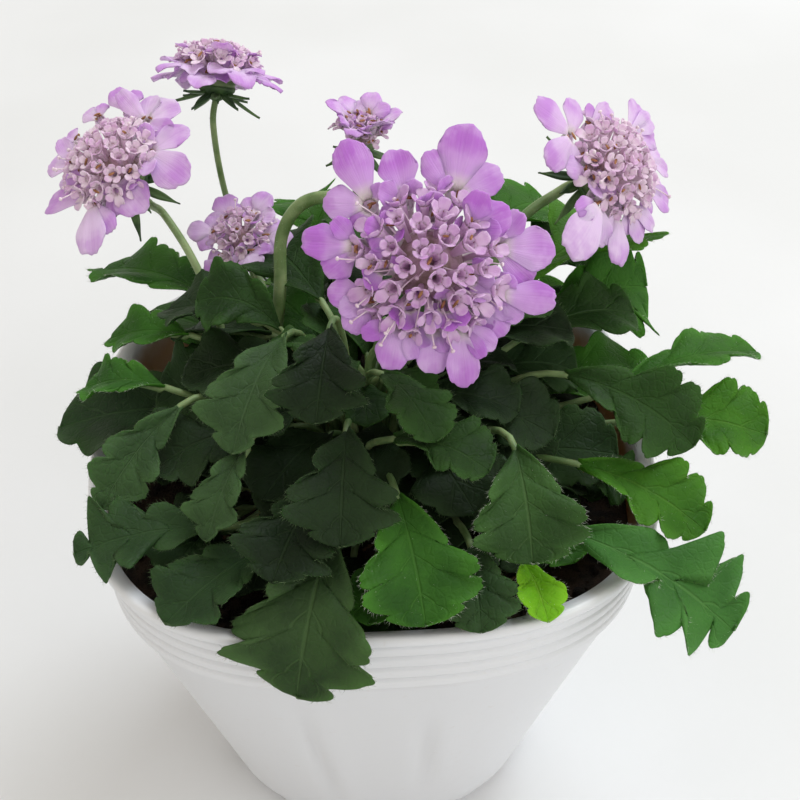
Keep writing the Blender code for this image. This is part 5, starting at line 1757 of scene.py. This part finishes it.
def placed_florets(key, flower, draw, paint):
    """The florets of a head that are set one by one, in the head's frame."""
    parts = []
    size = flower.width / FLOWERS[LARGEST].width
    for number, (throat_pixel, *lobes) in enumerate(PLACED_FLORETS[key]):
        outer = number < OUTER_ROW
        height = size * (THROAT_HEIGHT if outer else SECOND_HEIGHT) + STAGGER * (number % 2)
        throat = on_head(flower, throat_pixel, height)
        mouth = size * (OUTER_MOUTH if outer else SECOND_MOUTH)
        outwards = Vector((throat.x, throat.y, 0)).normalized()
        foot = outwards * 2.0 + Vector((0, 0, 0.55 * height))
        for tip_pixel, wide, lift, bend in lobes:
            tip = on_head(flower, tip_pixel, height + TIP_RISE) - throat
            reach = math.hypot(tip.x, tip.y)
            slope = math.radians(lift - bend / 2)
            lobe = Lobe(math.degrees(math.atan2(tip.y, tip.x)),
                        (reach - 0.85 * mouth) / math.cos(slope) * 1.07,
                        wide * (1.0 if key == LARGEST else BROADER), lift, bend,
                        draw.uniform(-0.18, 0.16), 0.05 * wide)
            if lift > STANDING_LIFT:
                lobe = lobe._replace(reach=max(0.85 * reach, 2.4), cup=0.2)
            parts.append(lobe_part(mouth, throat, lobe, draw, paint, LOBE_ROWS, LOBE_COLS))
        parts.append(funnel_part(foot, throat, 0.7 * size, mouth, draw, paint))
        for _ in range(draw.choice((2, 2, 3)) if outer else draw.choice((1, 2))):
            spot = throat + Vector((draw.uniform(-0.5, 0.5) * mouth, draw.uniform(-0.5, 0.5) * mouth, -0.9))
            way = Vector((draw.uniform(-0.3, 0.3), draw.uniform(-0.3, 0.3), 1)) + 0.3 * outwards
            parts += anther_parts(spot, way, draw)
    for pixel in FRONT_KNOBS if key == LARGEST else ():
        end = on_head(flower, pixel, KNOB_HEIGHT)
        end.z -= KNOB_FALL * (end.x ** 2 + end.y ** 2)
        foot = Vector((end.x * 0.45, end.y * 0.45, STYLE_FOOT))
        parts += style_parts(foot, end, draw)
    return parts


# %% [markdown]
# A head is a low dome that carries an outer row of florets, a second row and the cups on top. Heads 3, 5
# and 6 use the source's draws for the place of each floret, so they stand where the solids stand.

# %% Flower heads
DOME_WIDE = 0.40
DOME_HIGH = 0.42
DOME_SIDES = 28
SECOND_SPAN = 0.68
CUP_SPREAD = 58.0
CUP_TURN = 137.5
DROOP = {"3": 12.0, "6": 20.0}
# Cups beyond those of the coarse head, and how wide their mouths are
MORE_CUPS = {"1": 23, "2": 29, "3": 29, "4": 29, "5": 13, "6": 13}
MOUTH_SHARE = 0.040
LARGEST_MOUTH = 0.26
OTHER_MOUTH = 0.22
# A row of drawn florets: mouth, its place along the floret and over it, width, columns, anthers, their lean
Row = namedtuple("Row", "mouth mouth_at mouth_high broad cols anthers lean")
OUTER_FLORETS = Row(0.085, 0.40, 0.04, 1.1, 11, (1, 2, 2, 3), 0.7)
SECOND_FLORETS = Row(0.075, 0.42, 0.03, 1.15, 9, (1, 2, 2), 0.5)
DRAWN_ROWS = 10


def head_place(turn, raise_angle, outwards, rise):
    """Where a floret stands on its head."""
    lean = Matrix.Rotation(math.radians(-raise_angle), 4, "Y")
    spread = Matrix.Rotation(math.radians(turn), 4, "Z")
    return Matrix.Translation((0, 0, SEAT)) @ spread @ Matrix.Translation((outwards, 0, rise)) @ lean


def drawn_styles(flower, draw):
    """Styles that stand up round the cups."""
    half = flower.width / 2
    high = DOME_HIGH * half
    parts = []
    for _ in range(int(0.40 * flower.width)):
        turn = math.radians(draw.uniform(0, 360))
        near, far = draw.uniform(0.16, 0.26) * half, draw.uniform(0.42, 0.66) * half
        end = around(far, turn, high * draw.uniform(1.0, 1.35))
        parts += style_parts(around(near, turn, 0.9 * high), end, draw)
    return parts


def drawn_floret(row, half, length, place, draw, paint):
    """One floret of a row with its anthers, carried to its place."""
    mouth = row.mouth * half
    parts = floret_parts(length, mouth, row.mouth_at, row.mouth_high * half, draw, paint, row.broad,
                         DRAWN_ROWS, row.cols)
    for _ in range(draw.choice(row.anthers)):
        spot = (row.mouth_at * length, draw.uniform(-0.5, 0.5) * mouth, 0.0)
        parts += anther_parts(spot, (draw.uniform(0.0, row.lean), draw.uniform(-0.4, 0.4), 1), draw)
    return [moved(part, place) for part in parts]


def drawn_florets(key, flower, draw, paint):
    """The two rows of florets of heads 3, 5 and 6, placed by the source's draws."""
    half = flower.width / 2
    dome, high = DOME_WIDE * half, DOME_HIGH * half
    source_draw = random.Random("bloom_" + key)
    parts = []
    for number in range(flower.outer):
        length = (half - 0.2 * dome) * source_draw.uniform(0.9, 1.03)
        raise_angle = 60 * (1 - flower.opening) + (9 if number % 2 else 0) + source_draw.uniform(-3, 3)
        raise_angle -= DROOP.get(key, 0.0)
        turn = 360 * (number + 0.1 + source_draw.uniform(-0.12, 0.12)) / flower.outer
        place = head_place(turn, raise_angle, 0.2 * dome, 0.28 * high + 1.0 + 0.3 * (number % 2))
        parts += drawn_floret(OUTER_FLORETS, half, length, place, draw, paint)
    for number in range(flower.second):
        length = (SECOND_SPAN * half - 0.2 * dome) * source_draw.uniform(0.92, 1.05)
        raise_angle = 32 + 35 * (1 - flower.opening) + source_draw.uniform(-3, 3)
        turn = 360 * (number + 0.45 + source_draw.uniform(-0.1, 0.1)) / flower.second
        place = head_place(turn, raise_angle, 0.25 * dome, 0.40 * high + 0.6)
        parts += drawn_floret(SECOND_FLORETS, half, length, place, draw, paint)
    return parts


def turned_body(rings, sides, paint):
    """A closed body round +Z through rings of (radius, height)."""
    return tube([(0, 0, height) for _, height in rings], [reach for reach, _ in rings], sides, 0.5, paint)


def build_head(key, flower):
    """A whole head: its dome, the green under it, the florets, the styles and the cups."""
    largest = key == LARGEST
    petal_paint = petal_paints["petal_lilac" if largest else "petal_pale"]
    cup_paint = petal_paints["cup_pink" if largest else "cup_pale"]
    half = flower.width / 2
    dome, high = DOME_WIDE * half, DOME_HIGH * half
    base = receptacle_half(flower)
    draw = random.Random("head " + key)
    profile = [(0.9 * base, -0.6), (0.62 * dome, 0.2 * high), (0.7 * dome, 0.42 * high),
               (0.66 * dome, 0.62 * high), (0.5 * dome, 0.8 * high), (0.25 * dome, 0.92 * high),
               (0.06 * dome, 0.95 * high)]
    calyx = [(0.92 * base, -0.6), (0.95 * base, 0.06 * high), (0.66 * dome, 0.34 * high)]
    parts = [turned_body(profile, DOME_SIDES, heart_green), turned_body(calyx, CUP_SIDES, stalk_green)]
    if key in PLACED_FLORETS:
        parts += placed_florets(key, flower, draw, petal_paint)
    else:
        parts += drawn_florets(key, flower, draw, petal_paint)
    if not largest:
        parts += drawn_styles(flower, draw)
    cups = flower.cups + MORE_CUPS[key]
    for number in range(cups):
        polar = (CUP_SPREAD + 6) * math.sqrt(number / cups)
        top = 0.95 * high + 0.25 * dome * math.sin(math.radians(polar)) + 0.13 * half
        tall = 0.30 * half * draw.uniform(0.85, 1.1)
        mouth = (MOUTH_SHARE * half + (LARGEST_MOUTH if largest else OTHER_MOUTH)) * draw.uniform(0.8, 1.15)
        place = Matrix.Rotation(math.radians(CUP_TURN * number), 4, "Z")
        place = place @ Matrix.Translation((0, 0, 0.6)) @ Matrix.Rotation(math.radians(polar), 4, "Y")
        place = place @ Matrix.Translation((0, 0, top - tall))
        parts += [moved(part, place) for part in cup_parts(tall, mouth, number / cups, draw, cup_paint)]
    at = head_frame(flower)
    return add_piece("head_of_flower_" + key, [moved(part, at) for part in parts], "petal", "bloom_" + key)


for key, flower in FLOWERS.items():
    head = build_head(key, flower)
    print(head.name, len(head.data.polygons), "faces")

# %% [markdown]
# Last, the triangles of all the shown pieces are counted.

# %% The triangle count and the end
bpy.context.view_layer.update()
faces = sum(sum(len(polygon.vertices) - 2 for polygon in piece.data.polygons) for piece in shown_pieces())
print(faces, "triangles in all")
